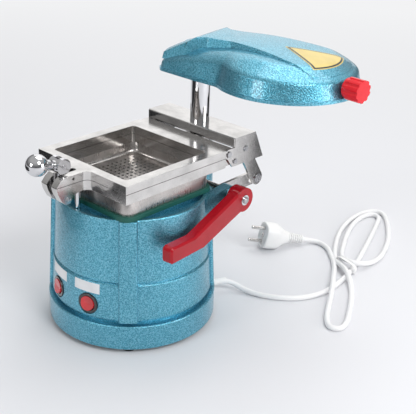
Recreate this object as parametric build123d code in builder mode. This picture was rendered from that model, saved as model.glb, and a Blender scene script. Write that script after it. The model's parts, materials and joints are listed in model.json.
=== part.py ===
from build123d import *
import math
import os

# Dental vacuum former: a round cast base with suction table, a lifting sheet frame
# driven by a hand lever, and a heater head that swings round one column.
# Frame: origin on the bench under the middle of the round base, +Z up, front to -Y.

os.makedirs("parts", exist_ok=True)

# ---------------------------------------------------------------- fits (mm)
RUNNING_FIT = 0.05
SEAT_GAP = 0.3
SCREW_FIT = 0.1

# ---------------------------------------------------------------- cast base
FOOT_HEIGHT = 5.0
SKIRT_R = 96.7
SKIRT_TOP = 34.4
BAND_GROOVE_R = 89.0
WALL_BOTTOM = 38.5
WALL_R_LOW = 92.3
WALL_R_TOP = 85.6
BODY_TOP = 156.0
CASTING_WALL = 4.0
RIM_WIDTH = 5.0
DECK_Z = 150.0
EDGE_ROUND = 1.5
PANEL_GROOVE_Z = 82.5
PANEL_GROOVE_HALF = 1.8
PANEL_GROOVE_DEPTH = 2.4
RIB_PROUD = 3.7
RIB_ARC = 13.0
RIB_ROUND = 3.0
QUARTER_AZIMUTH = 45.0

# ---------------------------------------------------------------- base plate, feet
PLATE_THICK = 3.0
FOOT_R = 9.0
FOOT_CIRCLE_R = 83.0
SMALL_SCREW_R = 2.0
SMALL_HEAD_R = 3.8
BOSS_R = 5.5
BOSS_CIRCLE_R = 88.0
BOSS_TOP = 26.0

# ---------------------------------------------------------------- suction table
TABLE_Y = -2.0
COLLAR_HALF = 64.0
CORNER_R = 12.0
GASKET_HALF = 65.8
GASKET_TOP = 161.3
GASKET_OPENING = 50.0
INTAKE_R = 24.0
TRAY_HALF = 62.5
TRAY_WALL = 1.5
TRAY_TOP = 180.3
FLOOR_TOP = 167.6
FLOOR_ROUND = 5.0
HOLE_R = 1.6
HOLE_COUNT = 7
HOLE_PITCH = 15.0

# ---------------------------------------------------------------- blower and motor
CASING_R = 62.0
CASING_LOW = 98.0
CASING_TOP = 143.0
CASING_WALL = 2.0
IMPELLER_R = 54.0
BLADE_COUNT = 8
MOTOR_R = 41.0
MOTOR_LOW = 30.0
MOTOR_SHAFT_R = 4.0
ISOLATOR_HOLE_R = 26.0

# ---------------------------------------------------------------- column
COLUMN_Y = 107.0
COLUMN_R = 11.4
COLUMN_TOP = 308.0
SOCKET_R = 18.0
SOCKET_TOP = 160.0
SOCKET_LOW = 60.0
SOCKET_BORE_LOW = 92.0
SOCKET_WEB_HALF = 12.0

# ---------------------------------------------------------------- lift shaft, cranks, links
SHAFT_Y = 80.7
SHAFT_Z = 148.6
SHAFT_R = 6.0
EAR_IN = 64.2
EAR_OUT = 76.0
EAR_R = 10.0
BUSH_WALL = 2.0
CRANK_R = 57.0
CRANK_REST_DEG = 1.6
CRANK_IN = 60.0
CRANK_THICK = 3.5
CRANK_HALF = 8.0
CRANK_PIN_R = 2.5
CRANK_HEAD_R = 5.5
PIN_SLOT_R = 3.95
PIN_SLOT_ENDS = ((-1.15, -0.3), (-6.35, -1.7))
LINK_IN = 64.0
LINK_THICK = 3.5
LINK_HALF = 8.5
RIVET_Y = 109.8
RIVET_Z = 195.2
RIVET_R = 2.5

# ---------------------------------------------------------------- hand lever
LEVER_IN = 82.0
LEVER_THICK = 14.0
LEVER_SPLAY_DEG = 6.5
BOSS_ROUND_R = 14.0
LEVER_TIP_Y = -48.0
GRIP_LOW = 117.2
GRIP_TOP = 136.5
ELBOW_LOW_Y = 7.0
ELBOW_TOP_Y = -9.0
LEVER_CHAMFER = 2.0

# ---------------------------------------------------------------- sheet frames
FRAME_HALF = 71.0
FRAME_FRONT = -72.6
OPEN_HALF = 58.7
OPEN_Y = -2.8
OPEN_CORNER_R = 4.0
LOWER_Z = 180.6
LOWER_TOP = 191.4
UPPER_Z = 191.8
UPPER_TOP = 201.0
POCKET_Y = 75.5
POCKET_HALF = 67.7
FRAME_REAR = 87.5
LUG_REAR = 97.0
LUG_IN = 56.0
REAR_STEP_Z = 187.0
HINGE_Y = 81.7
HINGE_Z = 194.6
HINGE_SCREW_R = 2.0
FIX_Y = 92.3
FIX_Z = 184.2
FIX_SCREW_R = 1.5

# ---------------------------------------------------------------- carriage bracket
BRACKET_HALF = 70.0
SHEET = 2.0
BRACKET_FRONT = 92.0
BRACKET_TOP = 211.5
BRACKET_TOP_REAR = 126.6
BRACKET_LOW = 178.0
BRACKET_LOW_REAR = 142.0
EYE_R = 6.0
SLEEVE_R = 16.2
SLEEVE_LOW = 181.0

# ---------------------------------------------------------------- front latch
TONGUE_HALF = 12.6
TONGUE_ROOT_R = 8.0
SLOT_HALF = 3.5
SLOT_END_Y = -82.6
TONGUE_LOW_FRONT = -113.2
TONGUE_TOP_FRONT = -103.0
LATCH_Y = -99.0
LATCH_PIVOT_Z = 176.5
LATCH_PIN_R = 2.0
BOLT_R = 3.0
BOLT_EYE_R = 5.0
CAM_Z = 210.4
CAM_R = 8.5
CAM_HALF = 8.0
CAM_PIN_R = 2.5
HANDLE_RISE_DEG = 14.2
HANDLE_NECK_R = 3.5
BALL_R = 11.5
BALL_REACH = 28.2
REST_PIN_R = 3.0
REST_PIN_Y = -77.0

# ---------------------------------------------------------------- switches
SWITCH_AZIMUTHS = {"left": -16.0, "right": 16.0}
SWITCH_Z = 54.0
BEZEL_R = 12.0
BEZEL_BODY_R = 10.6
BEZEL_BORE_R = 9.0
BEZEL_PROUD = 2.2
BEZEL_DEPTH = 14.0
ROCKER_R = 8.2
ROCKER_TILT = 8.0
ROCKER_FACE = 4.5
ROCKER_BACK = 3.0
TRUNNION_R = 1.2

# ---------------------------------------------------------------- heater head
HEAD_REST_DEG = 11.0
LIP_Z = COLUMN_TOP - 31.0
LIP_HEIGHT = 3.5
LIP_PROUD = 0.8
DISC_REACH = 110.0
DISC_R = 80.0
TAIL_BACK = 30.0
TAIL_HALF = 45.0
NECK_REACH = DISC_REACH - 85.0
NECK_HALF = 56.0
HEAD_DRAFT = 9.0
DOME_R = 300.0
DOME_TOP = LIP_Z + 45.5
DOME_REACH = 105.0
HEAD_WALL = 4.0
HEAD_EDGE_ROUND = 7.0
ARM_DOME_R = 460.0
ARM_DOME_REACH = 75.0
ARM_TOP = LIP_Z + 49.0
TAIL_RAMP_Z = LIP_Z + 20.0
TAIL_RAMP = math.radians(29.0)
HEAD_BOSS_R = 20.0
HEAD_BOSS_LOW = LIP_Z + 9.0
STOP_RING_R = 19.0
STOP_RING_HEIGHT = 7.0
COVER_THICK = 1.2
COVER_Z = LIP_Z + 2.5
HEATER_OPENING_R = 66.0
DISH_R = 64.0
DISH_TOP = LIP_Z + 23.0
CARRIER_HUB_R = 8.0
CARRIER_ARM = 6.0
ELEMENT_Z = LIP_Z + 8.0
ELEMENT_RINGS = (16.0, 32.0, 48.0)
ELEMENT_WIDTH = 5.0
KNOB_R = 12.0
KNOB_LENGTH = 22.0
KNOB_Z = LIP_Z + 14.0
KNOB_AZIMUTH = -14.0
KNOB_STANDOFF = 2.0
STUD_R = 3.0
TAIL_POST_TOP = LIP_Z + 16.0
NECK_POST_TOP = LIP_Z + 33.0
POST_R = 5.0
COVER_SCREW_LENGTH = 9.0

# ---------------------------------------------------------------- mains cord
CORD_D = 6.5
GLAND_AZIMUTH = 66.0
GLAND_Z = 14.0
GLAND_R = 4.4
GLAND_TIP_R = 106.9
HANK_LOW = 1.2
HANK_HEIGHT = 9.0
TIE_THICK = 1.0
TIE_WIDTH = 33.0
TIE_BREADTH = 4.0
PLUG_R = 18.5
PLUG_PIN_R = 2.4
PLUG_PIN_PITCH = 19.0
PLUG_PIN_LENGTH = 19.0
# hand-laid route from the gland tip to the hank
ENTRY_ROUTE = [
    (43.5, 97.7, 14.0), (48.9, 109.8, 14.0), (58.0, 117.6, 10.0), (70.0, 121.8, 5.2),
    (85.0, 126.0, 3.35), (102.0, 134.0, 3.35), (117.8, 145.0, 3.35), (130.0, 159.0, 3.35),
    (138.6, 175.6, 3.35), (143.6, 200.4, 3.35),
]
# hand-laid route from the hank to the plug
TAIL_ROUTE = [
    (92.5, 283.5, 3.35), (77.5, 296.0, 3.35), (61.8, 300.2, 3.35), (48.6, 294.8, 4.4),
    (40.8, 281.6, 7.9),
]
HANK_LOWER_LOOP = [
    (113, 266), (134, 225), (160, 182), (185, 149), (197, 137), (206, 143),
    (193, 175), (173, 211), (152, 242), (136, 266), (124, 276),
]
HANK_UPPER_LOOP = [
    (110, 268), (80, 309), (56, 352), (44, 397), (47, 434), (60, 451), (73, 442),
    (101, 408), (122, 374), (137, 338), (142, 310), (139, 283), (133, 262), (120, 258),
]


def wall_radius(z):
    """Outer radius of the tapered casting wall at height z."""
    share = (z - WALL_BOTTOM) / (BODY_TOP - WALL_BOTTOM)
    return WALL_R_LOW + (WALL_R_TOP - WALL_R_LOW) * share


def polar(radius, azimuth):
    """Plan position at a radius and an azimuth counted from +X."""
    angle = math.radians(azimuth)
    return radius * math.cos(angle), radius * math.sin(angle)


def radial_plane(radius, azimuth, z):
    """Plane that faces outward at an azimuth, local Y up."""
    x, y = polar(radius, azimuth)
    outward = (x / radius, y / radius, 0)
    sideways = (-outward[1], outward[0], 0)
    return Plane(origin=(x, y, z), x_dir=sideways, z_dir=outward)


def across(x):
    """Plane across the machine at x: local X runs to the rear, local Y up."""
    return Plane(origin=(x, 0, 0), x_dir=(0, 1, 0), z_dir=(1, 0, 0))


def corner_radii(route):
    """Bend radius at each inner corner: 0.45 of the shorter run over tan(turn / 2)."""
    points = [Vector(*point) for point in route]
    radii = []
    for before, here, after in zip(points, points[1:], points[2:]):
        run = min((here - before).length, (after - here).length)
        turn = (here - before).get_angle(after - here)
        radii.append(0.45 * run / math.tan(math.radians(turn) / 2))
    return radii


def route_plane(start, toward):
    """Plane at the start of a route, facing along its first run."""
    return Plane(origin=start, z_dir=Vector(*toward) - Vector(*start))


# ================================================================ BASE CASTING
deck_under = DECK_Z - CASTING_WALL
panel_drop = 0.8
groove_low = PANEL_GROOVE_Z - PANEL_GROOVE_HALF
groove_high = PANEL_GROOVE_Z + PANEL_GROOVE_HALF
set_screw_z = (SOCKET_TOP + SOCKET_BORE_LOW) / 2

with BuildPart() as casting_envelope:
    with BuildSketch(Plane.XZ):
        with BuildLine():
            Polyline(
                (0, FOOT_HEIGHT), (SKIRT_R, FOOT_HEIGHT), (SKIRT_R, SKIRT_TOP),
                (BAND_GROOVE_R, SKIRT_TOP), (BAND_GROOVE_R, WALL_BOTTOM),
                (WALL_R_LOW, WALL_BOTTOM), (wall_radius(groove_low), groove_low),
                (wall_radius(PANEL_GROOVE_Z) - PANEL_GROOVE_DEPTH, PANEL_GROOVE_Z),
                (wall_radius(groove_high) - panel_drop, groove_high),
                (WALL_R_TOP - panel_drop, BODY_TOP), (0, BODY_TOP), close=True,
            )
        make_face()
    revolve(axis=Axis.Z)
    crisp_rims = casting_envelope.edges().filter_by(GeomType.CIRCLE)
    fillet(crisp_rims.filter_by(lambda e: e.radius > BAND_GROOVE_R + 0.1), EDGE_ROUND)
    fillet(crisp_rims.group_by(Axis.Z)[-1], EDGE_ROUND)

with BuildPart() as rib:
    with BuildSketch(Plane.XZ):
        with BuildLine():
            Polyline(
                (WALL_R_LOW - CASTING_WALL, WALL_BOTTOM),
                (WALL_R_LOW + RIB_PROUD, WALL_BOTTOM),
                (WALL_R_TOP + RIB_PROUD, BODY_TOP),
                (WALL_R_TOP - CASTING_WALL, BODY_TOP), close=True,
            )
        make_face()
    revolve(axis=Axis.Z, revolution_arc=RIB_ARC)
    rib_long_edges = rib.edges().filter_by(GeomType.LINE).group_by(SortBy.LENGTH)[-1]
    fillet(rib_long_edges.sort_by(SortBy.DISTANCE)[-2:], RIB_ROUND)
    rib_end_face = rib.faces().sort_by(Axis.Z)
    fillet(rib_end_face[-1].edges().sort_by(SortBy.DISTANCE)[-1], RIB_ROUND / 2)

with BuildPart() as ear:
    with BuildSketch(across(EAR_IN)):
        with Locations((SHAFT_Y, SHAFT_Z)):
            Circle(EAR_R)
        with Locations((45, 137)):
            Rectangle(10, 34)
        make_hull()
    extrude(amount=EAR_OUT - EAR_IN)

with BuildPart() as socket:
    with BuildSketch(Plane.XY.offset(SOCKET_LOW)):
        with Locations((0, COLUMN_Y)):
            Circle(SOCKET_R)
    extrude(amount=SOCKET_TOP - SOCKET_LOW)
    fillet(socket.edges().group_by(Axis.Z)[-1], EDGE_ROUND)
    with BuildSketch(Plane.XY.offset(SOCKET_LOW)):
        with Locations((0, COLUMN_Y - SOCKET_R / 2 - 8)):
            Rectangle(2 * SOCKET_WEB_HALF, SOCKET_R + 16)
    extrude(amount=SHAFT_Z - SHAFT_R - 3 - SOCKET_LOW)
    slope = Plane(origin=(0, COLUMN_Y - SOCKET_R, 62), z_dir=(0, -0.7, 1))
    split(bisect_by=slope, keep=Keep.TOP)

# bearing saddle under the lift shaft, where the shaft crosses the rear wall
with BuildPart() as saddle:
    with Locations((0, 76, 142)):
        Box(84, 24, 20)
    add(casting_envelope.part, mode=Mode.INTERSECT)

with BuildPart() as base_shell:
    add(casting_envelope.part)
    with PolarLocations(0, 4, start_angle=QUARTER_AZIMUTH - RIB_ARC / 2):
        add(rib.part)
    add(ear.part)
    mirror(ear.part, about=Plane.YZ)
    add(socket.part)
    # open inside of the casting
    with BuildSketch(Plane.XZ):
        with BuildLine():
            Polyline(
                (0, FOOT_HEIGHT - 1), (SKIRT_R - CASTING_WALL, FOOT_HEIGHT - 1),
                (SKIRT_R - CASTING_WALL, SKIRT_TOP - CASTING_WALL),
                (BAND_GROOVE_R - CASTING_WALL, SKIRT_TOP - CASTING_WALL / 2),
                (BAND_GROOVE_R - CASTING_WALL, groove_low),
                (wall_radius(deck_under) - panel_drop - CASTING_WALL, deck_under),
                (0, deck_under), close=True,
            )
        make_face()
    revolve(axis=Axis.Z, mode=Mode.SUBTRACT)
    # sunk deck inside the rim
    with BuildSketch(Plane.XY.offset(DECK_Z)):
        Circle(WALL_R_TOP - RIM_WIDTH)
    extrude(amount=SOCKET_TOP, mode=Mode.SUBTRACT)
    # square collar under the table gasket
    with BuildSketch(Plane.XY.offset(DECK_Z)):
        with Locations((0, TABLE_Y)):
            RectangleRounded(2 * COLLAR_HALF, 2 * COLLAR_HALF, CORNER_R)
    extrude(amount=BODY_TOP - DECK_Z)
    add(saddle.part)
    # trough that the lift shaft turns in
    with BuildSketch(across(-44)):
        with Locations((SHAFT_Y, SHAFT_Z)):
            Circle(SHAFT_R + 1.2)
        with Locations((SHAFT_Y, SHAFT_Z + 10)):
            Rectangle(2 * (SHAFT_R + 1.2), 20)
    extrude(amount=88, mode=Mode.SUBTRACT)
    # air intake through deck and collar
    with Locations((0, TABLE_Y, deck_under)):
        Cylinder(INTAKE_R, 20, align=(Align.CENTER, Align.CENTER, Align.MIN), mode=Mode.SUBTRACT)
    # bores for column, shaft bushes, front rest pin
    with Locations((0, COLUMN_Y, SOCKET_BORE_LOW)):
        Cylinder(
            COLUMN_R + RUNNING_FIT, 80,
            align=(Align.CENTER, Align.CENTER, Align.MIN), mode=Mode.SUBTRACT,
        )
    with BuildSketch(across(-EAR_OUT - 1)):
        with Locations((SHAFT_Y, SHAFT_Z)):
            Circle(SHAFT_R + BUSH_WALL + RUNNING_FIT)
    extrude(amount=2 * EAR_OUT + 2, mode=Mode.SUBTRACT)
    with Locations((0, REST_PIN_Y, deck_under)):
        Cylinder(
            REST_PIN_R + RUNNING_FIT, 10,
            align=(Align.CENTER, Align.CENTER, Align.MIN), mode=Mode.SUBTRACT,
        )
    with BuildSketch(Plane.XZ.offset(-COLUMN_Y)):
        with Locations((0, set_screw_z)):
            Circle(SMALL_SCREW_R + RUNNING_FIT)
    extrude(amount=-SOCKET_R - 1, mode=Mode.SUBTRACT)
    # openings for the two switches and the cord gland
    for azimuth in SWITCH_AZIMUTHS.values():
        with BuildSketch(radial_plane(SKIRT_R, azimuth - 90, SWITCH_Z)):
            Circle(BEZEL_BODY_R + SCREW_FIT)
        extrude(amount=-20, mode=Mode.SUBTRACT)
        with BuildSketch(radial_plane(wall_radius(SWITCH_Z) - 1.6, azimuth - 90, SWITCH_Z)):
            Circle(BEZEL_R + 0.8)
        extrude(amount=10, mode=Mode.SUBTRACT)
    # lugs for the base plate screws
    with PolarLocations(BOSS_CIRCLE_R, 4):
        with Locations((0, 0, FOOT_HEIGHT + SEAT_GAP + PLATE_THICK)):
            Cylinder(
                BOSS_R, BOSS_TOP - FOOT_HEIGHT - SEAT_GAP - PLATE_THICK,
                align=(Align.CENTER, Align.CENTER, Align.MIN),
            )
    with PolarLocations(BOSS_CIRCLE_R, 4):
        with Locations((0, 0, FOOT_HEIGHT)):
            Cylinder(
                SMALL_SCREW_R + RUNNING_FIT, 16,
                align=(Align.CENTER, Align.CENTER, Align.MIN), mode=Mode.SUBTRACT,
            )
    with BuildSketch(radial_plane(SKIRT_R + 2, GLAND_AZIMUTH, GLAND_Z)):
        Circle(GLAND_R + RUNNING_FIT)
    extrude(amount=-12, mode=Mode.SUBTRACT)
base_shell.part.label = "base_shell"
export_step(base_shell.part, "parts/base_shell.step")

with BuildPart() as base_plate:
    plate_low = FOOT_HEIGHT + SEAT_GAP
    with BuildSketch(Plane.XY.offset(plate_low)):
        Circle(SKIRT_R - CASTING_WALL - SEAT_GAP)
    extrude(amount=PLATE_THICK)
    with PolarLocations(BOSS_CIRCLE_R, 4):
        with Locations((0, 0, plate_low + PLATE_THICK)):
            Hole(SMALL_SCREW_R + SCREW_FIT)
    with PolarLocations(FOOT_CIRCLE_R, 4, start_angle=QUARTER_AZIMUTH):
        with Locations((0, 0, plate_low + PLATE_THICK)):
            Hole(SMALL_SCREW_R + RUNNING_FIT)
    # ring of cooling slots round the motor
    with BuildSketch(Plane.XY.offset(plate_low)):
        with PolarLocations((MOTOR_R + FOOT_CIRCLE_R) / 2 - 6, 12):
            SlotOverall(18, 5)
    extrude(amount=PLATE_THICK, mode=Mode.SUBTRACT)
base_plate.part.label = "base_plate"
export_step(base_plate.part, "parts/base_plate.step")

foot_sink = 2.0
with BuildPart() as rubber_feet:
    with BuildSketch():
        with PolarLocations(FOOT_CIRCLE_R, 4, start_angle=QUARTER_AZIMUTH):
            Circle(FOOT_R)
    extrude(amount=plate_low)
    fillet(rubber_feet.edges().group_by(Axis.Z)[0], 1.0)
    with BuildSketch():
        with PolarLocations(FOOT_CIRCLE_R, 4, start_angle=QUARTER_AZIMUTH):
            Circle(SMALL_HEAD_R + SCREW_FIT)
    extrude(amount=foot_sink, mode=Mode.SUBTRACT)
    with BuildSketch():
        with PolarLocations(FOOT_CIRCLE_R, 4, start_angle=QUARTER_AZIMUTH):
            Circle(SMALL_SCREW_R + SCREW_FIT)
    extrude(amount=plate_low, mode=Mode.SUBTRACT)
rubber_feet.part.label = "rubber_feet"
export_step(rubber_feet.part, "parts/rubber_feet.step")

with BuildPart() as foot_screws:
    with PolarLocations(FOOT_CIRCLE_R, 4, start_angle=QUARTER_AZIMUTH):
        with Locations((0, 0, foot_sink - 1.5)):
            Cylinder(SMALL_HEAD_R, 1.5, align=(Align.CENTER, Align.CENTER, Align.MIN))
        with Locations((0, 0, foot_sink - 0.5)):
            Cylinder(
                SMALL_SCREW_R, plate_low + PLATE_THICK - foot_sink + 2.5,
                align=(Align.CENTER, Align.CENTER, Align.MIN),
            )
foot_screws.part.label = "foot_screws"
export_step(foot_screws.part, "parts/foot_screws.step")

with BuildPart() as base_plate_screws:
    with PolarLocations(BOSS_CIRCLE_R, 4):
        with Locations((0, 0, plate_low - 2)):
            Cylinder(SMALL_HEAD_R, 2, align=(Align.CENTER, Align.CENTER, Align.MIN))
        with Locations((0, 0, plate_low - 1)):
            Cylinder(SMALL_SCREW_R, 14, align=(Align.CENTER, Align.CENTER, Align.MIN))
base_plate_screws.part.label = "base_plate_screws"
export_step(base_plate_screws.part, "parts/base_plate_screws.step")

# ================================================================ SUCTION TABLE
with BuildPart() as table_gasket:
    with BuildSketch(Plane.XY.offset(BODY_TOP)):
        with Locations((0, TABLE_Y)):
            RectangleRounded(2 * GASKET_HALF, 2 * GASKET_HALF, CORNER_R)
            RectangleRounded(2 * GASKET_OPENING, 2 * GASKET_OPENING, CORNER_R, mode=Mode.SUBTRACT)
    extrude(amount=GASKET_TOP - BODY_TOP)
    fillet(table_gasket.edges().group_by(Axis.Z)[-1].sort_by(SortBy.LENGTH)[-4:], 0.8)
table_gasket.part.label = "table_gasket"
export_step(table_gasket.part, "parts/table_gasket.step")

# forming recess with a drawn round along its floor
tray_inner = TRAY_HALF - TRAY_WALL
with BuildPart() as tray_recess:
    with BuildSketch(Plane.XY.offset(FLOOR_TOP)):
        with Locations((0, TABLE_Y)):
            RectangleRounded(2 * tray_inner, 2 * tray_inner, FLOOR_ROUND + 0.5)
    extrude(amount=TRAY_TOP - FLOOR_TOP + 1)
    fillet(tray_recess.edges().group_by(Axis.Z)[0], FLOOR_ROUND)

with BuildPart() as forming_tray:
    with BuildSketch(Plane.XY.offset(GASKET_TOP)):
        with Locations((0, TABLE_Y)):
            RectangleRounded(2 * TRAY_HALF, 2 * TRAY_HALF, 3.0)
    extrude(amount=TRAY_TOP - GASKET_TOP)
    add(tray_recess.part, mode=Mode.SUBTRACT)
    # plenum below the floor
    with BuildSketch(Plane.XY.offset(GASKET_TOP)):
        with Locations((0, TABLE_Y)):
            RectangleRounded(2 * tray_inner - 8, 2 * tray_inner - 8, 3.0)
    extrude(amount=FLOOR_TOP - TRAY_WALL - GASKET_TOP, mode=Mode.SUBTRACT)
    # suction holes
    with Locations((0, TABLE_Y, FLOOR_TOP)):
        with GridLocations(HOLE_PITCH, HOLE_PITCH, HOLE_COUNT, HOLE_COUNT):
            Hole(HOLE_R, depth=TRAY_WALL + 1)
forming_tray.part.label = "forming_tray"
export_step(forming_tray.part, "parts/forming_tray.step")

# ================================================================ BLOWER AND MOTOR
with BuildPart() as intake_seal:
    with Locations((0, TABLE_Y, CASING_TOP)):
        Cylinder(
            INTAKE_R + 8, deck_under - CASING_TOP,
            align=(Align.CENTER, Align.CENTER, Align.MIN),
        )
        Cylinder(
            INTAKE_R, deck_under - CASING_TOP,
            align=(Align.CENTER, Align.CENTER, Align.MIN), mode=Mode.SUBTRACT,
        )
intake_seal.part.label = "intake_seal"
export_step(intake_seal.part, "parts/intake_seal.step")

with BuildPart() as blower_casing:
    with BuildSketch(Plane.XZ.offset(-TABLE_Y)):
        with BuildLine():
            Polyline(
                (MOTOR_SHAFT_R + 1, CASING_LOW), (CASING_R, CASING_LOW), (CASING_R, CASING_TOP),
                (INTAKE_R, CASING_TOP), (INTAKE_R, CASING_TOP - CASING_WALL),
                (CASING_R - CASING_WALL, CASING_TOP - CASING_WALL),
                (CASING_R - CASING_WALL, CASING_LOW + CASING_WALL),
                (MOTOR_SHAFT_R + 1, CASING_LOW + CASING_WALL), close=True,
            )
        make_face()
    revolve(axis=Axis((0, TABLE_Y, 0), (0, 0, 1)))
    # air outlets round the wall
    with BuildSketch(Plane.XZ.offset(-TABLE_Y)):
        with Locations((0, (CASING_LOW + CASING_TOP) / 2)):
            Rectangle(26, 14)
    extrude(amount=CASING_R + 1, both=True, mode=Mode.SUBTRACT)
blower_casing.part.label = "blower_casing"
export_step(blower_casing.part, "parts/blower_casing.step")

impeller_low = CASING_LOW + CASING_WALL + 4
impeller_height = CASING_TOP - CASING_WALL - 4 - impeller_low
with BuildPart() as blower_impeller:
    with BuildSketch(Plane.XY.offset(impeller_low)):
        with Locations((0, TABLE_Y)):
            Circle(IMPELLER_R)
    extrude(amount=2)
    with BuildSketch(Plane.XY.offset(impeller_low)):
        with Locations((0, TABLE_Y)):
            Circle(MOTOR_SHAFT_R + 6)
    extrude(amount=impeller_height - 8)
    with BuildSketch(Plane.XY.offset(impeller_low)):
        with Locations((0, TABLE_Y)):
            with PolarLocations((IMPELLER_R + INTAKE_R) / 2, BLADE_COUNT):
                Rectangle(IMPELLER_R - INTAKE_R - 2, 2, rotation=25)
    extrude(amount=impeller_height)
    with BuildSketch(Plane.XY.offset(impeller_low)):
        with Locations((0, TABLE_Y)):
            Circle(MOTOR_SHAFT_R)
    extrude(amount=impeller_height, mode=Mode.SUBTRACT)
blower_impeller.part.label = "blower_impeller"
export_step(blower_impeller.part, "parts/blower_impeller.step")

motor_top = CASING_LOW
shaft_top = impeller_low + impeller_height - 8
bearing_depth = 12.0
with BuildPart() as motor_shaft:
    with Locations((0, TABLE_Y, motor_top - bearing_depth)):
        Cylinder(
            MOTOR_SHAFT_R, shaft_top - motor_top + bearing_depth,
            align=(Align.CENTER, Align.CENTER, Align.MIN),
        )
motor_shaft.part.label = "motor_shaft"
export_step(motor_shaft.part, "parts/motor_shaft.step")

with BuildPart() as vacuum_motor:
    with Locations((0, TABLE_Y, MOTOR_LOW)):
        Cylinder(MOTOR_R, motor_top - MOTOR_LOW, align=(Align.CENTER, Align.CENTER, Align.MIN))
    chamfer(vacuum_motor.edges().group_by(Axis.Z)[0], 4)
    with Locations((0, TABLE_Y, motor_top)):
        Hole(MOTOR_SHAFT_R + RUNNING_FIT, depth=bearing_depth + 1)
    # carbon brush pockets
    with BuildSketch(across(-MOTOR_R - 5)):
        with Locations((TABLE_Y, MOTOR_LOW + 18)):
            Rectangle(14, 12)
    extrude(amount=8, mode=Mode.SUBTRACT)
    with BuildSketch(across(MOTOR_R - 3)):
        with Locations((TABLE_Y, MOTOR_LOW + 18)):
            Rectangle(14, 12)
    extrude(amount=8, mode=Mode.SUBTRACT)
vacuum_motor.part.label = "vacuum_motor"
export_step(vacuum_motor.part, "parts/vacuum_motor.step")

isolator_low = plate_low + PLATE_THICK
with BuildPart() as motor_isolator:
    with Locations((0, TABLE_Y, isolator_low)):
        Cylinder(MOTOR_R - 5, MOTOR_LOW - isolator_low, align=(Align.CENTER, Align.CENTER, Align.MIN))
        Cylinder(
            ISOLATOR_HOLE_R, MOTOR_LOW - isolator_low,
            align=(Align.CENTER, Align.CENTER, Align.MIN), mode=Mode.SUBTRACT,
        )
motor_isolator.part.label = "motor_isolator"
export_step(motor_isolator.part, "parts/motor_isolator.step")

# ================================================================ COLUMN AND REST PIN
with BuildPart() as column:
    with Locations((0, COLUMN_Y, SOCKET_BORE_LOW)):
        Cylinder(
            COLUMN_R, COLUMN_TOP - SOCKET_BORE_LOW,
            align=(Align.CENTER, Align.CENTER, Align.MIN),
        )
    chamfer(column.edges().group_by(Axis.Z)[-1], 1.0)
column.part.label = "column"
export_step(column.part, "parts/column.step")

with BuildPart() as column_set_screw:
    with BuildSketch(Plane.XZ.offset(-(COLUMN_Y + COLUMN_R + RUNNING_FIT))):
        with Locations((0, set_screw_z)):
            Circle(SMALL_SCREW_R)
    extrude(amount=-(SOCKET_R - COLUMN_R))
    with BuildSketch(Plane.XZ.offset(-(COLUMN_Y + SOCKET_R))):
        with Locations((0, set_screw_z)):
            RegularPolygon(SMALL_HEAD_R, 6)
    extrude(amount=-3)
column_set_screw.part.label = "column_set_screw"
export_step(column_set_screw.part, "parts/column_set_screw.step")

with BuildPart() as front_rest_pin:
    with Locations((0, REST_PIN_Y, deck_under)):
        Cylinder(
            REST_PIN_R, LOWER_Z - SEAT_GAP - deck_under,
            align=(Align.CENTER, Align.CENTER, Align.MIN),
        )
    fillet(front_rest_pin.edges().group_by(Axis.Z)[-1], 1.0)
front_rest_pin.part.label = "front_rest_pin"
export_step(front_rest_pin.part, "parts/front_rest_pin.step")

# ================================================================ LIFT SHAFT AND LEVER
shaft_right = LEVER_IN + LEVER_THICK
shaft_left = -EAR_OUT - 5.5
with BuildPart() as lever_shaft:
    with BuildSketch(across(shaft_left)):
        with Locations((SHAFT_Y, SHAFT_Z)):
            Circle(SHAFT_R)
    extrude(amount=shaft_right - 2 - shaft_left)
    chamfer(lever_shaft.edges().filter_by(GeomType.CIRCLE), 0.6)
    with BuildSketch(across(shaft_right - 2)):
        with Locations((SHAFT_Y, SHAFT_Z)):
            Circle(SMALL_SCREW_R)
    extrude(amount=-12, mode=Mode.SUBTRACT)
lever_shaft.part.label = "lever_shaft"
export_step(lever_shaft.part, "parts/lever_shaft.step")

with BuildPart() as shaft_bushes:
    for bush_x in (-EAR_OUT, EAR_IN):
        with BuildSketch(across(bush_x)):
            with Locations((SHAFT_Y, SHAFT_Z)):
                Circle(SHAFT_R + BUSH_WALL)
                Circle(SHAFT_R + RUNNING_FIT, mode=Mode.SUBTRACT)
        extrude(amount=EAR_OUT - EAR_IN)
shaft_bushes.part.label = "shaft_bushes"
export_step(shaft_bushes.part, "parts/shaft_bushes.step")

with BuildPart() as shaft_spacers:
    for spacer_x, width in ((shaft_left + 0.5, 4.5), (EAR_OUT + 0.5, LEVER_IN - EAR_OUT - 1.9)):
        with BuildSketch(across(spacer_x)):
            with Locations((SHAFT_Y, SHAFT_Z)):
                Circle(SHAFT_R + 3)
                Circle(SHAFT_R + RUNNING_FIT, mode=Mode.SUBTRACT)
        extrude(amount=width)
shaft_spacers.part.label = "shaft_spacers"
export_step(shaft_spacers.part, "parts/shaft_spacers.step")

# the lever blade lies in a plane splayed outward, so the grip swings clear of the casting
splay = math.radians(LEVER_SPLAY_DEG)
lever_plane = Plane(
    origin=(LEVER_IN, SHAFT_Y, SHAFT_Z),
    x_dir=(-math.sin(splay), math.cos(splay), 0),
    z_dir=(math.cos(splay), math.sin(splay), 0),
)


def blade(y, z):
    """Point of the lever blade, from a position seen from the side."""
    return ((y - SHAFT_Y) / math.cos(splay), z - SHAFT_Z)


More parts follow.
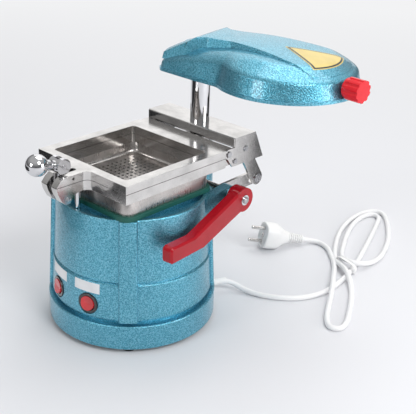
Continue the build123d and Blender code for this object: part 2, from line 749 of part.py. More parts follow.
with BuildPart() as lift_lever:
    with BuildSketch(lever_plane) as blade_outline:
        with BuildLine():
            Polyline(
                blade(SHAFT_Y + 1, SHAFT_Z + BOSS_ROUND_R - 0.5), blade(ELBOW_TOP_Y, GRIP_TOP - 1.5),
                blade(LEVER_TIP_Y, GRIP_TOP + 1), blade(LEVER_TIP_Y, GRIP_LOW + 1),
                blade(ELBOW_LOW_Y, GRIP_LOW - 1), blade(SHAFT_Y + 1, SHAFT_Z - BOSS_ROUND_R + 1),
                close=True,
            )
        make_face()
        elbows = blade_outline.vertices().sort_by(Axis.X)
        fillet(elbows[:2], 5)
        fillet(elbows[2:4], 18)
    extrude(amount=LEVER_THICK)
    side_edges = lift_lever.faces().filter_by(Axis(lever_plane.origin, lever_plane.z_dir)).edges()
    long_edges = side_edges.filter_by(GeomType.LINE).filter_by(lambda edge: edge.length > LEVER_THICK)
    chamfer(long_edges.filter_by(lambda edge: edge.center().Y < SHAFT_Y - BOSS_ROUND_R), LEVER_CHAMFER)
    with BuildSketch(across(LEVER_IN - 0.3)):
        with Locations((SHAFT_Y, SHAFT_Z)):
            Circle(BOSS_ROUND_R)
    extrude(amount=LEVER_THICK + 1.4)
    with BuildSketch(across(LEVER_IN - 5)):
        with Locations((SHAFT_Y, SHAFT_Z)):
            Circle(SHAFT_R + RUNNING_FIT)
    extrude(amount=LEVER_THICK + 3.2, mode=Mode.SUBTRACT)
    with BuildSketch(across(LEVER_IN)):
        with Locations((SHAFT_Y, SHAFT_Z)):
            Circle(SMALL_SCREW_R + SCREW_FIT)
    extrude(amount=LEVER_THICK + 3, mode=Mode.SUBTRACT)
lift_lever.part.label = "lift_lever"
export_step(lift_lever.part, "parts/lift_lever.step")

lever_face = LEVER_IN - 0.3 + LEVER_THICK + 1.4
with BuildPart() as lever_washer:
    with BuildSketch(across(lever_face)):
        with Locations((SHAFT_Y, SHAFT_Z)):
            Circle(6)
            Circle(SMALL_SCREW_R + SCREW_FIT, mode=Mode.SUBTRACT)
    extrude(amount=1)
lever_washer.part.label = "lever_washer"
export_step(lever_washer.part, "parts/lever_washer.step")

with BuildPart() as lever_screw:
    with BuildSketch(across(lever_face + 1)):
        with Locations((SHAFT_Y, SHAFT_Z)):
            Circle(SMALL_HEAD_R)
    extrude(amount=2.4)
    fillet(lever_screw.edges().filter_by(GeomType.CIRCLE).sort_by(Axis.X)[-1], 1.2)
    with BuildSketch(across(lever_face + 1)):
        with Locations((SHAFT_Y, SHAFT_Z)):
            Circle(SMALL_SCREW_R - RUNNING_FIT)
    extrude(amount=-13)
lever_screw.part.label = "lever_screw"
export_step(lever_screw.part, "parts/lever_screw.step")

# ================================================================ CRANKS AND LINKS
crank_angle = math.radians(CRANK_REST_DEG)
pin_y = SHAFT_Y + CRANK_R * math.cos(crank_angle)
pin_z = SHAFT_Z + CRANK_R * math.sin(crank_angle)

# the crank pin travels along this slot, inward of its place at both ends of the lift
slot_ends = [
    (pin_y + along * math.cos(crank_angle) - aside * math.sin(crank_angle),
     pin_z + along * math.sin(crank_angle) + aside * math.cos(crank_angle))
    for along, aside in PIN_SLOT_ENDS
]
with BuildSketch() as pin_slot:
    with Locations(*slot_ends):
        Circle(PIN_SLOT_R)
    make_hull()

with BuildPart() as crank_arms:
    for crank_x in (-CRANK_IN - CRANK_THICK, CRANK_IN):
        with BuildSketch(across(crank_x)):
            with Locations((SHAFT_Y, SHAFT_Z), (pin_y, pin_z)):
                Circle(CRANK_HALF)
            make_hull()
            with Locations((SHAFT_Y, SHAFT_Z)):
                Circle(SHAFT_R + RUNNING_FIT, mode=Mode.SUBTRACT)
            add(pin_slot.sketch, mode=Mode.SUBTRACT)
        extrude(amount=CRANK_THICK)
crank_arms.part.label = "crank_arms"
export_step(crank_arms.part, "parts/crank_arms.step")

with BuildPart() as crank_pins:
    for side in (-1, 1):
        with BuildSketch(across(side * CRANK_IN)):
            with Locations((pin_y, pin_z)):
                Circle(CRANK_PIN_R)
        extrude(amount=side * (LINK_IN + LINK_THICK + 0.3 - CRANK_IN))
        with BuildSketch(across(side * (LINK_IN + LINK_THICK + 0.3))):
            with Locations((pin_y, pin_z)):
                Circle(CRANK_HEAD_R)
        extrude(amount=side * 1.5)
crank_pins.part.label = "crank_pins"
export_step(crank_pins.part, "parts/crank_pins.step")


def link_outline():
    """Flat link between the bracket rivet and the crank pin."""
    with Locations((RIVET_Y, RIVET_Z), (pin_y, pin_z)):
        Circle(LINK_HALF)
    make_hull()
    with Locations((RIVET_Y, RIVET_Z)):
        Circle(RIVET_R + RUNNING_FIT, mode=Mode.SUBTRACT)
    with Locations((pin_y, pin_z)):
        Circle(CRANK_PIN_R + RUNNING_FIT, mode=Mode.SUBTRACT)


with BuildPart() as link_right:
    with BuildSketch(across(LINK_IN)):
        link_outline()
    extrude(amount=LINK_THICK)
link_right.part.label = "link_right"
export_step(link_right.part, "parts/link_right.step")

with BuildPart() as link_left:
    with BuildSketch(across(-LINK_IN - LINK_THICK)):
        link_outline()
    extrude(amount=LINK_THICK)
link_left.part.label = "link_left"
export_step(link_left.part, "parts/link_left.step")

with BuildPart() as link_rivets:
    for side in (-1, 1):
        with BuildSketch(across(side * (LINK_IN - 0.3))):
            with Locations((RIVET_Y, RIVET_Z)):
                Circle(RIVET_R)
        extrude(amount=side * (BRACKET_HALF - LINK_IN + 0.3))
        with BuildSketch(across(side * BRACKET_HALF)):
            with Locations((RIVET_Y, RIVET_Z)):
                Circle(RIVET_R + 1.2)
        extrude(amount=side * 1.4, taper=20)
        with BuildSketch(across(side * (LINK_IN - 0.3))):
            with Locations((RIVET_Y, RIVET_Z)):
                Circle(RIVET_R + 1.2)
        extrude(amount=-side * 1.2)
link_rivets.part.label = "link_rivets"
export_step(link_rivets.part, "parts/link_rivets.step")

# ================================================================ CARRIAGE
with BuildPart() as carriage_bracket:
    with BuildSketch(across(-BRACKET_HALF)):
        with BuildLine():
            Polyline(
                (BRACKET_FRONT, BRACKET_TOP), (BRACKET_FRONT, HINGE_Z + EYE_R),
                (HINGE_Y, HINGE_Z + EYE_R), (HINGE_Y - 3, HINGE_Z - 4),
                (FIX_Y - 4, BRACKET_LOW), (BRACKET_LOW_REAR, BRACKET_LOW),
                (BRACKET_TOP_REAR, BRACKET_TOP), close=True,
            )
        make_face()
        with Locations((HINGE_Y, HINGE_Z), (FIX_Y, FIX_Z)):
            Circle(EYE_R)
    extrude(amount=2 * BRACKET_HALF)
    # inside of the folded sheet, open at the front and below
    with BuildSketch(across(-BRACKET_HALF + SHEET)):
        with BuildLine():
            Polyline(
                (HINGE_Y - 20, BRACKET_TOP - SHEET), (HINGE_Y - 20, BRACKET_LOW - 10),
                (BRACKET_LOW_REAR - SHEET, BRACKET_LOW - 10),
                (BRACKET_LOW_REAR - SHEET, BRACKET_LOW + 1),
                (BRACKET_TOP_REAR - SHEET, BRACKET_TOP - SHEET), close=True,
            )
        make_face()
    extrude(amount=2 * (BRACKET_HALF - SHEET), mode=Mode.SUBTRACT)
    with Locations((0, COLUMN_Y, BRACKET_TOP)):
        Hole(COLUMN_R + RUNNING_FIT, depth=SHEET + 1)
    for hole_y, hole_z, hole_r in (
        (HINGE_Y, HINGE_Z, HINGE_SCREW_R),
        (FIX_Y, FIX_Z, FIX_SCREW_R),
        (RIVET_Y, RIVET_Z, RIVET_R),
    ):
        with BuildSketch(across(-BRACKET_HALF - 1)):
            with Locations((hole_y, hole_z)):
                Circle(hole_r + RUNNING_FIT)
        extrude(amount=2 * BRACKET_HALF + 2, mode=Mode.SUBTRACT)
carriage_bracket.part.label = "carriage_bracket"
export_step(carriage_bracket.part, "parts/carriage_bracket.step")

with BuildPart() as carriage_sleeve:
    with Locations((0, COLUMN_Y, SLEEVE_LOW)):
        Cylinder(
            SLEEVE_R, BRACKET_TOP - SHEET - SLEEVE_LOW,
            align=(Align.CENTER, Align.CENTER, Align.MIN),
        )
        Cylinder(
            COLUMN_R + RUNNING_FIT, BRACKET_TOP - SHEET - SLEEVE_LOW,
            align=(Align.CENTER, Align.CENTER, Align.MIN), mode=Mode.SUBTRACT,
        )
    chamfer(carriage_sleeve.edges().group_by(Axis.Z)[0].sort_by(SortBy.LENGTH)[-1], 1.5)
carriage_sleeve.part.label = "carriage_sleeve"
export_step(carriage_sleeve.part, "parts/carriage_sleeve.step")


# outline of a sheet frame without its tongue, drawn in plan
with BuildSketch() as frame_plan:
    with BuildLine():
        Polyline(
            (-FRAME_HALF, FRAME_FRONT), (FRAME_HALF, FRAME_FRONT), (FRAME_HALF, POCKET_Y),
            (POCKET_HALF, POCKET_Y), (POCKET_HALF, FRAME_REAR), (-POCKET_HALF, FRAME_REAR),
            (-POCKET_HALF, POCKET_Y), (-FRAME_HALF, POCKET_Y), close=True,
        )
    make_face()


def latch_slot():
    """Open slot in the tongue that the eye bolt swings into, drawn in plan."""
    with Locations((0, SLOT_END_Y)):
        Circle(SLOT_HALF)
    with Locations((0, SLOT_END_Y - 20)):
        Rectangle(2 * SLOT_HALF, 40)


with BuildPart() as lower_frame:
    with BuildSketch(Plane.XY.offset(LOWER_Z)):
        add(frame_plan.sketch)
    extrude(amount=LOWER_TOP - LOWER_Z)
    # side lugs behind the frame, for the bracket screws
    with BuildSketch(Plane.XY.offset(LOWER_Z)):
        for side in (-1, 1):
            with Locations((side * (LUG_IN + POCKET_HALF) / 2, (LUG_REAR + POCKET_Y) / 2)):
                Rectangle(POCKET_HALF - LUG_IN, LUG_REAR - POCKET_Y)
    extrude(amount=LOWER_TOP - LOWER_Z)
    # fork with two hanging cheeks for the eye bolt
    with BuildSketch(across(-TONGUE_HALF)):
        with BuildLine():
            Polyline(
                (FRAME_FRONT + 2, LOWER_TOP), (TONGUE_LOW_FRONT, LOWER_TOP), (-111.6, 185),
                (-107, 175.5), (-102.5, 171.2), (-97, 170.8), (-94.3, 174.2), (-91.5, 179),
                (-83.6, LOWER_Z), (FRAME_FRONT + 2, LOWER_Z), close=True,
            )
        make_face()
    extrude(amount=2 * TONGUE_HALF)
    root_edges = lower_frame.edges().filter_by(Axis.Z).filter_by_position(
        Axis.Y, FRAME_FRONT - 0.1, FRAME_FRONT + 0.1
    )
    fillet(root_edges.filter_by_position(Axis.X, -TONGUE_HALF - 1, TONGUE_HALF + 1), TONGUE_ROOT_R)
    with BuildSketch(Plane.XY.offset(LATCH_PIVOT_Z - 12)):
        latch_slot()
    extrude(amount=40, mode=Mode.SUBTRACT)
    with BuildSketch(Plane.XY.offset(LOWER_Z)):
        with Locations((0, OPEN_Y)):
            RectangleRounded(2 * OPEN_HALF, 2 * OPEN_HALF, OPEN_CORNER_R)
    extrude(amount=20, mode=Mode.SUBTRACT)
    # step that the hinged rear edge of the upper frame turns into
    with BuildSketch(Plane.XY.offset(REAR_STEP_Z)):
        with Locations((0, POCKET_Y + 15)):
            Rectangle(2 * FRAME_HALF + 2, 30)
    extrude(amount=20, mode=Mode.SUBTRACT)
    with BuildSketch(across(-TONGUE_HALF - 1)):
        with Locations((LATCH_Y, LATCH_PIVOT_Z)):
            Circle(LATCH_PIN_R + RUNNING_FIT)
    extrude(amount=2 * TONGUE_HALF + 2, mode=Mode.SUBTRACT)
    with BuildSketch(across(-POCKET_HALF)):
        with Locations((FIX_Y, FIX_Z)):
            Circle(FIX_SCREW_R + RUNNING_FIT)
    extrude(amount=2 * POCKET_HALF, mode=Mode.SUBTRACT)
lower_frame.part.label = "lower_frame"
export_step(lower_frame.part, "parts/lower_frame.step")

with BuildPart() as upper_frame:
    with BuildSketch(Plane.XY.offset(UPPER_Z)):
        add(frame_plan.sketch)
    extrude(amount=UPPER_TOP - UPPER_Z)
    with BuildSketch(across(-TONGUE_HALF)):
        with BuildLine():
            Polyline(
                (FRAME_FRONT + 2, UPPER_TOP), (TONGUE_TOP_FRONT, UPPER_TOP), (-108.5, 197.3),
                (TONGUE_LOW_FRONT, UPPER_Z), (FRAME_FRONT + 2, UPPER_Z), close=True,
            )
        make_face()
    extrude(amount=2 * TONGUE_HALF)
    root_edges = upper_frame.edges().filter_by(Axis.Z).filter_by_position(
        Axis.Y, FRAME_FRONT - 0.1, FRAME_FRONT + 0.1
    )
    fillet(root_edges.filter_by_position(Axis.X, -TONGUE_HALF - 1, TONGUE_HALF + 1), TONGUE_ROOT_R)
    with BuildSketch(Plane.XY.offset(UPPER_Z)):
        latch_slot()
    extrude(amount=20, mode=Mode.SUBTRACT)
    with BuildSketch(Plane.XY.offset(UPPER_Z)):
        with Locations((0, OPEN_Y)):
            RectangleRounded(2 * OPEN_HALF, 2 * OPEN_HALF, OPEN_CORNER_R)
    extrude(amount=20, mode=Mode.SUBTRACT)
    # rounded rear edge about the hinge, so it turns clear of the lower frame
    rear_low = upper_frame.edges().filter_by(Axis.X).group_by(Axis.Y)[-1].sort_by(Axis.Z)[0]
    fillet(rear_low, 4.5)
    with BuildSketch(across(-POCKET_HALF)):
        with Locations((HINGE_Y, HINGE_Z)):
            Circle(HINGE_SCREW_R + RUNNING_FIT)
    extrude(amount=16, mode=Mode.SUBTRACT)
    with BuildSketch(across(POCKET_HALF)):
        with Locations((HINGE_Y, HINGE_Z)):
            Circle(HINGE_SCREW_R + RUNNING_FIT)
    extrude(amount=-16, mode=Mode.SUBTRACT)
    with BuildSketch(across(-TONGUE_HALF - 1)):
        with Locations((-91.4, 196.8)):
            Circle(1.5)
    extrude(amount=2 * TONGUE_HALF + 2, mode=Mode.SUBTRACT)
upper_frame.part.label = "upper_frame"
export_step(upper_frame.part, "parts/upper_frame.step")


with BuildPart() as hinge_pivot_screws:
    for side in (-1, 1):
        with BuildSketch(across(side * BRACKET_HALF)):
            with Locations((HINGE_Y, HINGE_Z)):
                Circle(HINGE_SCREW_R)
        extrude(amount=-side * 16)
        with BuildSketch(across(side * BRACKET_HALF)):
            with Locations((HINGE_Y, HINGE_Z)):
                Circle(HINGE_SCREW_R + 1.8)
        extrude(amount=side * 1.6, taper=12)
hinge_pivot_screws.part.label = "hinge_pivot_screws"
export_step(hinge_pivot_screws.part, "parts/hinge_pivot_screws.step")

with BuildPart() as frame_fixing_screws:
    for side in (-1, 1):
        with BuildSketch(across(side * BRACKET_HALF)):
            with Locations((FIX_Y, FIX_Z)):
                Circle(FIX_SCREW_R)
        extrude(amount=-side * 12)
        with BuildSketch(across(side * BRACKET_HALF)):
            with Locations((FIX_Y, FIX_Z)):
                Circle(FIX_SCREW_R + 1.6)
        extrude(amount=side * 1.6, taper=12)
frame_fixing_screws.part.label = "frame_fixing_screws"
export_step(frame_fixing_screws.part, "parts/frame_fixing_screws.step")

# ================================================================ FRONT LATCH
with BuildPart() as latch_pivot_pin:
    with BuildSketch(across(-TONGUE_HALF - 0.6)):
        with Locations((LATCH_Y, LATCH_PIVOT_Z)):
            Circle(LATCH_PIN_R)
    extrude(amount=2 * TONGUE_HALF + 1.2)
latch_pivot_pin.part.label = "latch_pivot_pin"
export_step(latch_pivot_pin.part, "parts/latch_pivot_pin.step")

bolt_eye_half = SLOT_HALF - 0.4
cam_cheek_in = bolt_eye_half + 0.3
with BuildPart() as latch_eye_bolt:
    with BuildSketch(across(-bolt_eye_half)):
        with Locations((LATCH_Y, LATCH_PIVOT_Z), (LATCH_Y, CAM_Z)):
            Circle(BOLT_EYE_R)
    extrude(amount=2 * bolt_eye_half)
    with Locations((0, LATCH_Y, LATCH_PIVOT_Z)):
        Cylinder(
            BOLT_R, CAM_Z - LATCH_PIVOT_Z, align=(Align.CENTER, Align.CENTER, Align.MIN),
        )
    with BuildSketch(across(-5)):
        with Locations((LATCH_Y, LATCH_PIVOT_Z)):
            Circle(LATCH_PIN_R + RUNNING_FIT)
        with Locations((LATCH_Y, CAM_Z)):
            Circle(CAM_PIN_R)
    extrude(amount=10, mode=Mode.SUBTRACT)
latch_eye_bolt.part.label = "latch_eye_bolt"
export_step(latch_eye_bolt.part, "parts/latch_eye_bolt.step")

with BuildPart() as latch_cam_pin:
    with BuildSketch(across(-CAM_HALF - 0.4)):
        with Locations((LATCH_Y, CAM_Z)):
            Circle(CAM_PIN_R)
    extrude(amount=2 * CAM_HALF + 0.8)
latch_cam_pin.part.label = "latch_cam_pin"
export_step(latch_cam_pin.part, "parts/latch_cam_pin.step")

rise = math.radians(HANDLE_RISE_DEG)
handle_plane = Plane(
    origin=(0, LATCH_Y, CAM_Z), x_dir=(1, 0, 0), z_dir=(0, -math.cos(rise), math.sin(rise)),
)
with BuildPart() as latch_cam_lever:
    with BuildSketch(across(-CAM_HALF)):
        with Locations((LATCH_Y, CAM_Z)):
            Circle(CAM_R)
            Circle(CAM_PIN_R + RUNNING_FIT, mode=Mode.SUBTRACT)
    extrude(amount=2 * CAM_HALF)
    # slot between the two cam cheeks for the eye of the bolt
    with BuildSketch(handle_plane.offset(-CAM_R - 1)):
        Rectangle(2 * cam_cheek_in, 2 * CAM_R + 2)
    extrude(amount=CAM_R + 1 + BOLT_EYE_R + 0.4, mode=Mode.SUBTRACT)
    with BuildSketch(handle_plane.offset(CAM_R - 1.6)):
        Circle(HANDLE_NECK_R + 1.5)
    extrude(amount=3.2)
    with BuildSketch(handle_plane.offset(CAM_R)):
        Circle(HANDLE_NECK_R)
    extrude(amount=BALL_REACH - CAM_R)
latch_cam_lever.part.label = "latch_cam_lever"
export_step(latch_cam_lever.part, "parts/latch_cam_lever.step")

with BuildPart() as ball_knob:
    with BuildSketch(handle_plane.offset(BALL_REACH - BALL_R - 3)):
        Circle(HANDLE_NECK_R + 2)
    extrude(amount=6)
    with Locations(handle_plane.offset(BALL_REACH)):
        Sphere(BALL_R)
    with BuildSketch(handle_plane.offset(BALL_REACH - BALL_R - 3)):
        Circle(HANDLE_NECK_R + RUNNING_FIT)
    extrude(amount=BALL_R + 3.2, mode=Mode.SUBTRACT)
ball_knob.part.label = "ball_knob"
export_step(ball_knob.part, "parts/ball_knob.step")

# ================================================================ SWITCHES
bezel_seat_r = wall_radius(SWITCH_Z) - 1.6
rocker_pivot_r = bezel_seat_r - 1.5
for side_name, azimuth in SWITCH_AZIMUTHS.items():
    seat = radial_plane(bezel_seat_r, azimuth - 90, SWITCH_Z)
    pivot = radial_plane(rocker_pivot_r, azimuth - 90, SWITCH_Z)
    with BuildPart() as switch_bezel:
        with BuildSketch(seat):
            Circle(BEZEL_R)
        extrude(amount=BEZEL_PROUD)
        fillet(switch_bezel.edges().filter_by(GeomType.CIRCLE), 0.7)
        with BuildSketch(seat):
            Circle(BEZEL_BODY_R)
        extrude(amount=-BEZEL_DEPTH)
        with BuildSketch(seat.offset(BEZEL_PROUD)):
            Circle(BEZEL_BORE_R)
        extrude(amount=-BEZEL_DEPTH - BEZEL_PROUD + 2, mode=Mode.SUBTRACT)
        with BuildSketch(Plane(origin=pivot.origin, x_dir=pivot.z_dir, z_dir=pivot.x_dir)):
            Circle(TRUNNION_R + RUNNING_FIT)
        extrude(amount=BEZEL_BODY_R - 0.6, both=True, mode=Mode.SUBTRACT)
    switch_bezel.part.label = f"switch_bezel_{side_name}"
    export_step(switch_bezel.part, f"parts/switch_bezel_{side_name}.step")

    # local X outward, local Y down; the rocker rests with its lower end out
    hinge = Plane(origin=pivot.origin, x_dir=pivot.z_dir, z_dir=pivot.x_dir)
    leaning = Plane(hinge * Rot(0, 0, -ROCKER_TILT))
    leaning_face = Plane(origin=pivot.origin, x_dir=leaning.z_dir, z_dir=leaning.x_dir)
    rocker_edge = ROCKER_FACE + ROCKER_R * math.tan(math.radians(ROCKER_TILT))
    with BuildPart() as rocker:
        # two sloping halves of the rocker face, meeting over the pivot
        with BuildSketch(leaning.offset(-ROCKER_R)):
            with BuildLine():
                Polyline(
                    (-ROCKER_BACK, -ROCKER_R), (-ROCKER_BACK, ROCKER_R),
                    (rocker_edge, ROCKER_R), (ROCKER_FACE, 0), (rocker_edge, -ROCKER_R), close=True,
                )
            make_face()
        extrude(amount=2 * ROCKER_R)
        with BuildSketch(leaning_face.offset(-ROCKER_BACK)):
            Circle(ROCKER_R)
        extrude(amount=2 * ROCKER_R, mode=Mode.INTERSECT)
        with BuildSketch(hinge):
            Circle(TRUNNION_R)
        extrude(amount=BEZEL_BORE_R + 0.8, both=True)
    rocker.part.label = f"rocker_{side_name}"
    export_step(rocker.part, f"parts/rocker_{side_name}.step")

# ================================================================ HEATER HEAD
head_turn = math.radians(HEAD_REST_DEG)
head_plan = Plane(
    origin=(0, COLUMN_Y, 0), x_dir=(math.cos(head_turn), math.sin(head_turn), 0), z_dir=(0, 0, 1),
)

with BuildSketch() as head_outline:
    with BuildLine():
        Polyline(
            (-TAIL_BACK, TAIL_HALF), (-TAIL_BACK, -TAIL_HALF), (NECK_REACH, -NECK_HALF),
            (NECK_REACH + 40, -NECK_HALF - 6), (NECK_REACH + 40, NECK_HALF + 6),
            (NECK_REACH, NECK_HALF), close=True,
        )
    make_face()
    fillet(head_outline.vertices().sort_by(Axis.X)[:2], 12)
    with Locations((DISC_REACH, 0)):
        Circle(DISC_R)
    necks = head_outline.vertices().filter_by_position(Axis.X, NECK_REACH + 10, NECK_REACH + 50)
    fillet(necks, 22)

# tapered block that the whole head is cut from
with BuildPart() as head_block:
    with BuildSketch(head_plan.offset(LIP_Z)):
        add(head_outline.sketch)
    extrude(amount=58, taper=HEAD_DRAFT)

with BuildPart() as head_crown:
    add(head_block.part)
    with Locations(head_plan.offset(DOME_TOP - DOME_R) * Pos(DOME_REACH, 0, 0)):
        Sphere(DOME_R, mode=Mode.INTERSECT)
    top_face = head_crown.faces().filter_by(GeomType.SPHERE)[0]
    fillet(top_face.edges(), HEAD_EDGE_ROUND)

with BuildPart() as head_hollow:
    with BuildSketch(head_plan.offset(LIP_Z - 1)):
        offset(head_outline.sketch, amount=-HEAD_WALL)
    extrude(amount=58, taper=HEAD_DRAFT)
    with Locations(head_plan.offset(DOME_TOP - DOME_R) * Pos(DOME_REACH, 0, 0)):
        Sphere(DOME_R - HEAD_WALL, mode=Mode.INTERSECT)

# raised arm that runs along the head from the column and widens to the round end
arm_fan = DISC_R - 9.0
fan_angle = math.radians(44)
fan_x = DISC_REACH + arm_fan * math.cos(fan_angle)
fan_y = arm_fan * math.sin(fan_angle)
arm_foot = LIP_Z + 14
with BuildPart() as raised_arm:
    with BuildSketch(head_plan.offset(arm_foot)):
        with BuildLine():
            ThreePointArc((fan_x, -fan_y), (DISC_REACH + arm_fan, 0), (fan_x, fan_y))
            Polyline(
                (fan_x, fan_y), (DISC_REACH + 20, 45), (DISC_REACH - 20, 38), (NECK_REACH + 27, 31),
                (NECK_REACH - 1, 30), (6, TAIL_HALF - 2),
                (-TAIL_BACK + 3, TAIL_HALF - 5), (-TAIL_BACK + 3, -TAIL_HALF + 5),
                (6, -TAIL_HALF + 2), (NECK_REACH - 1, -30), (NECK_REACH + 27, -31),
                (DISC_REACH - 20, -38), (DISC_REACH + 20, -45), (fan_x, -fan_y),
            )
        make_face()
    extrude(amount=50, taper=HEAD_DRAFT)
    with Locations(head_plan.offset(ARM_TOP - ARM_DOME_R) * Pos(ARM_DOME_REACH, 0, 0)):
        Sphere(ARM_DOME_R, mode=Mode.INTERSECT)
    # ramp up from the tail end
    ramp_foot = head_plan.offset(TAIL_RAMP_Z) * Pos(-TAIL_BACK, 0, 0)
    ramp_normal = head_plan.x_dir * -math.sin(TAIL_RAMP) + Vector(0, 0, math.cos(TAIL_RAMP))
    split(bisect_by=Plane(origin=ramp_foot.position, z_dir=ramp_normal), keep=Keep.BOTTOM)

tail_posts = ((-16, 30), (-16, -30))
neck_posts = ((NECK_REACH + 21, 46), (NECK_REACH + 21, -46))
cover_top = COVER_Z + COVER_THICK
draft_slope = math.tan(math.radians(HEAD_DRAFT))
knob_seat_r = DISC_R - (KNOB_Z - LIP_Z) * draft_slope
disc_centre = head_plan * Pos(DISC_REACH, 0, 0)
knob_around = radial_plane(knob_seat_r, HEAD_REST_DEG + KNOB_AZIMUTH, KNOB_Z)
knob_seat = Plane(
    origin=knob_around.origin + disc_centre.position, x_dir=knob_around.x_dir, z_dir=knob_around.z_dir,
)
with BuildPart() as head_shell:
    add(head_crown.part)
    add(raised_arm.part)
    with BuildSketch(head_plan.offset(LIP_Z)):
        offset(head_outline.sketch, amount=LIP_PROUD)
    extrude(amount=LIP_HEIGHT)
    add(head_hollow.part, mode=Mode.SUBTRACT)
    # boss that turns on the column, and posts for the cover screws
    with BuildSketch(head_plan.offset(HEAD_BOSS_LOW)):
        Circle(HEAD_BOSS_R)
    extrude(amount=COLUMN_TOP - HEAD_BOSS_LOW - 4)
    for places, post_top in ((tail_posts, TAIL_POST_TOP), (neck_posts, NECK_POST_TOP)):
        with BuildSketch(head_plan.offset(cover_top)):
            with Locations(*places):
                Circle(POST_R)
        extrude(amount=post_top - cover_top)
    with BuildSketch(head_plan.offset(HEAD_BOSS_LOW)):
        Circle(COLUMN_R + RUNNING_FIT)
    extrude(amount=COLUMN_TOP + 1 - HEAD_BOSS_LOW, mode=Mode.SUBTRACT)
    with BuildSketch(head_plan.offset(cover_top)):
        with Locations(*tail_posts, *neck_posts):
            Circle(SMALL_SCREW_R + RUNNING_FIT)
    extrude(amount=COVER_SCREW_LENGTH, mode=Mode.SUBTRACT)
    # hole for the stud of the grip knob
    with BuildSketch(knob_seat.offset(3)):
        Circle(STUD_R + RUNNING_FIT)
    extrude(amount=-12, mode=Mode.SUBTRACT)
head_shell.part.label = "head_shell"
export_step(head_shell.part, "parts/head_shell.step")

with BuildPart() as head_cover:
    with BuildSketch(head_plan.offset(COVER_Z)):
        offset(head_outline.sketch, amount=-HEAD_WALL - SEAT_GAP - (cover_top - LIP_Z) * draft_slope)
        with Locations((DISC_REACH, 0)):
            Circle(HEATER_OPENING_R, mode=Mode.SUBTRACT)
        Circle(STOP_RING_R + 1, mode=Mode.SUBTRACT)
        with Locations(*tail_posts, *neck_posts):
            Circle(SMALL_SCREW_R + SCREW_FIT, mode=Mode.SUBTRACT)
    extrude(amount=COVER_THICK)
head_cover.part.label = "head_cover"
export_step(head_cover.part, "parts/head_cover.step")

with BuildPart() as head_cover_screws:
    with BuildSketch(head_plan.offset(COVER_Z)):
        with Locations(*tail_posts, *neck_posts):
            Circle(SMALL_SCREW_R)
    extrude(amount=COVER_THICK + COVER_SCREW_LENGTH - 1)
    with BuildSketch(head_plan.offset(COVER_Z)):
        with Locations(*tail_posts, *neck_posts):
            Circle(SMALL_HEAD_R)
    extrude(amount=-1.8, taper=15)
head_cover_screws.part.label = "head_cover_screws"
export_step(head_cover_screws.part, "parts/head_cover_screws.step")

with BuildPart() as head_stop_ring:
    with BuildSketch(Plane.XY.offset(HEAD_BOSS_LOW - 0.1 - STOP_RING_HEIGHT)):
        with Locations((0, COLUMN_Y)):
            Circle(STOP_RING_R)
            Circle(COLUMN_R + RUNNING_FIT, mode=Mode.SUBTRACT)
    extrude(amount=STOP_RING_HEIGHT)
    chamfer(head_stop_ring.edges().group_by(Axis.Z)[0].sort_by(SortBy.LENGTH)[-1], 1)
head_stop_ring.part.label = "head_stop_ring"
export_step(head_stop_ring.part, "parts/head_stop_ring.step")

dish_axis = Axis((head_plan * Pos(DISC_REACH, 0, 0)).position, (0, 0, 1))
dish_side = Plane(origin=dish_axis.position, x_dir=head_plan.x_dir, z_dir=-head_plan.y_dir)
with BuildPart() as heater_reflector:
    with BuildSketch(dish_side):
        with BuildLine():
            Polyline(
                (0, DISH_TOP), (DISH_R - 6, DISH_TOP), (DISH_R, cover_top + COVER_THICK),
                (DISH_R + 6, cover_top + COVER_THICK), (DISH_R + 6, cover_top),
                (DISH_R - 1, cover_top), (DISH_R - 7, DISH_TOP - COVER_THICK),
                (0, DISH_TOP - COVER_THICK), close=True,
            )
        make_face()
    revolve(axis=dish_axis)
heater_reflector.part.label = "heater_reflector"
export_step(heater_reflector.part, "parts/heater_reflector.step")

heater_plane = head_plan.offset(ELEMENT_Z) * Pos(DISC_REACH, 0, 0)
with BuildPart() as heater_element:
    with BuildSketch(heater_plane):
        for ring_r in ELEMENT_RINGS:
            Circle(ring_r + ELEMENT_WIDTH / 2)
            Circle(ring_r - ELEMENT_WIDTH / 2, mode=Mode.SUBTRACT)
        with Locations(((ELEMENT_RINGS[0] + ELEMENT_RINGS[-1]) / 2, 0)):
            Rectangle(ELEMENT_RINGS[-1] - ELEMENT_RINGS[0], ELEMENT_WIDTH)
    extrude(amount=ELEMENT_WIDTH)
    chamfer(heater_element.edges().group_by(Axis.Z)[0].filter_by(GeomType.CIRCLE), 1)
heater_element.part.label = "heater_element"
export_step(heater_element.part, "parts/heater_element.step")

# three-armed ceramic carrier between the element and the reflector
carrier_height = DISH_TOP - COVER_THICK - ELEMENT_Z - ELEMENT_WIDTH
carrier_reach = ELEMENT_RINGS[-1] + ELEMENT_WIDTH / 2
with BuildPart() as element_carrier:
    with BuildSketch(heater_plane * Pos(0, 0, ELEMENT_WIDTH)):
        Circle(CARRIER_HUB_R)
        with PolarLocations(carrier_reach / 2, 3, start_angle=60):
            Rectangle(carrier_reach, CARRIER_ARM)
    extrude(amount=carrier_height)
element_carrier.part.label = "element_carrier"
export_step(element_carrier.part, "parts/element_carrier.step")

terminal_spot = head_plan.offset(cover_top) * Pos(32, 20, 0)
with BuildPart() as terminal_block:
    with BuildSketch(terminal_spot):
        Rectangle(10, 28)
    extrude(amount=10)
    with BuildSketch(terminal_spot * Pos(0, 0, 10)):
        with GridLocations(10, 9, 1, 3):
            Circle(2.5)
    extrude(amount=-6, mode=Mode.SUBTRACT)
terminal_block.part.label = "terminal_block"
export_step(terminal_block.part, "parts/terminal_block.step")

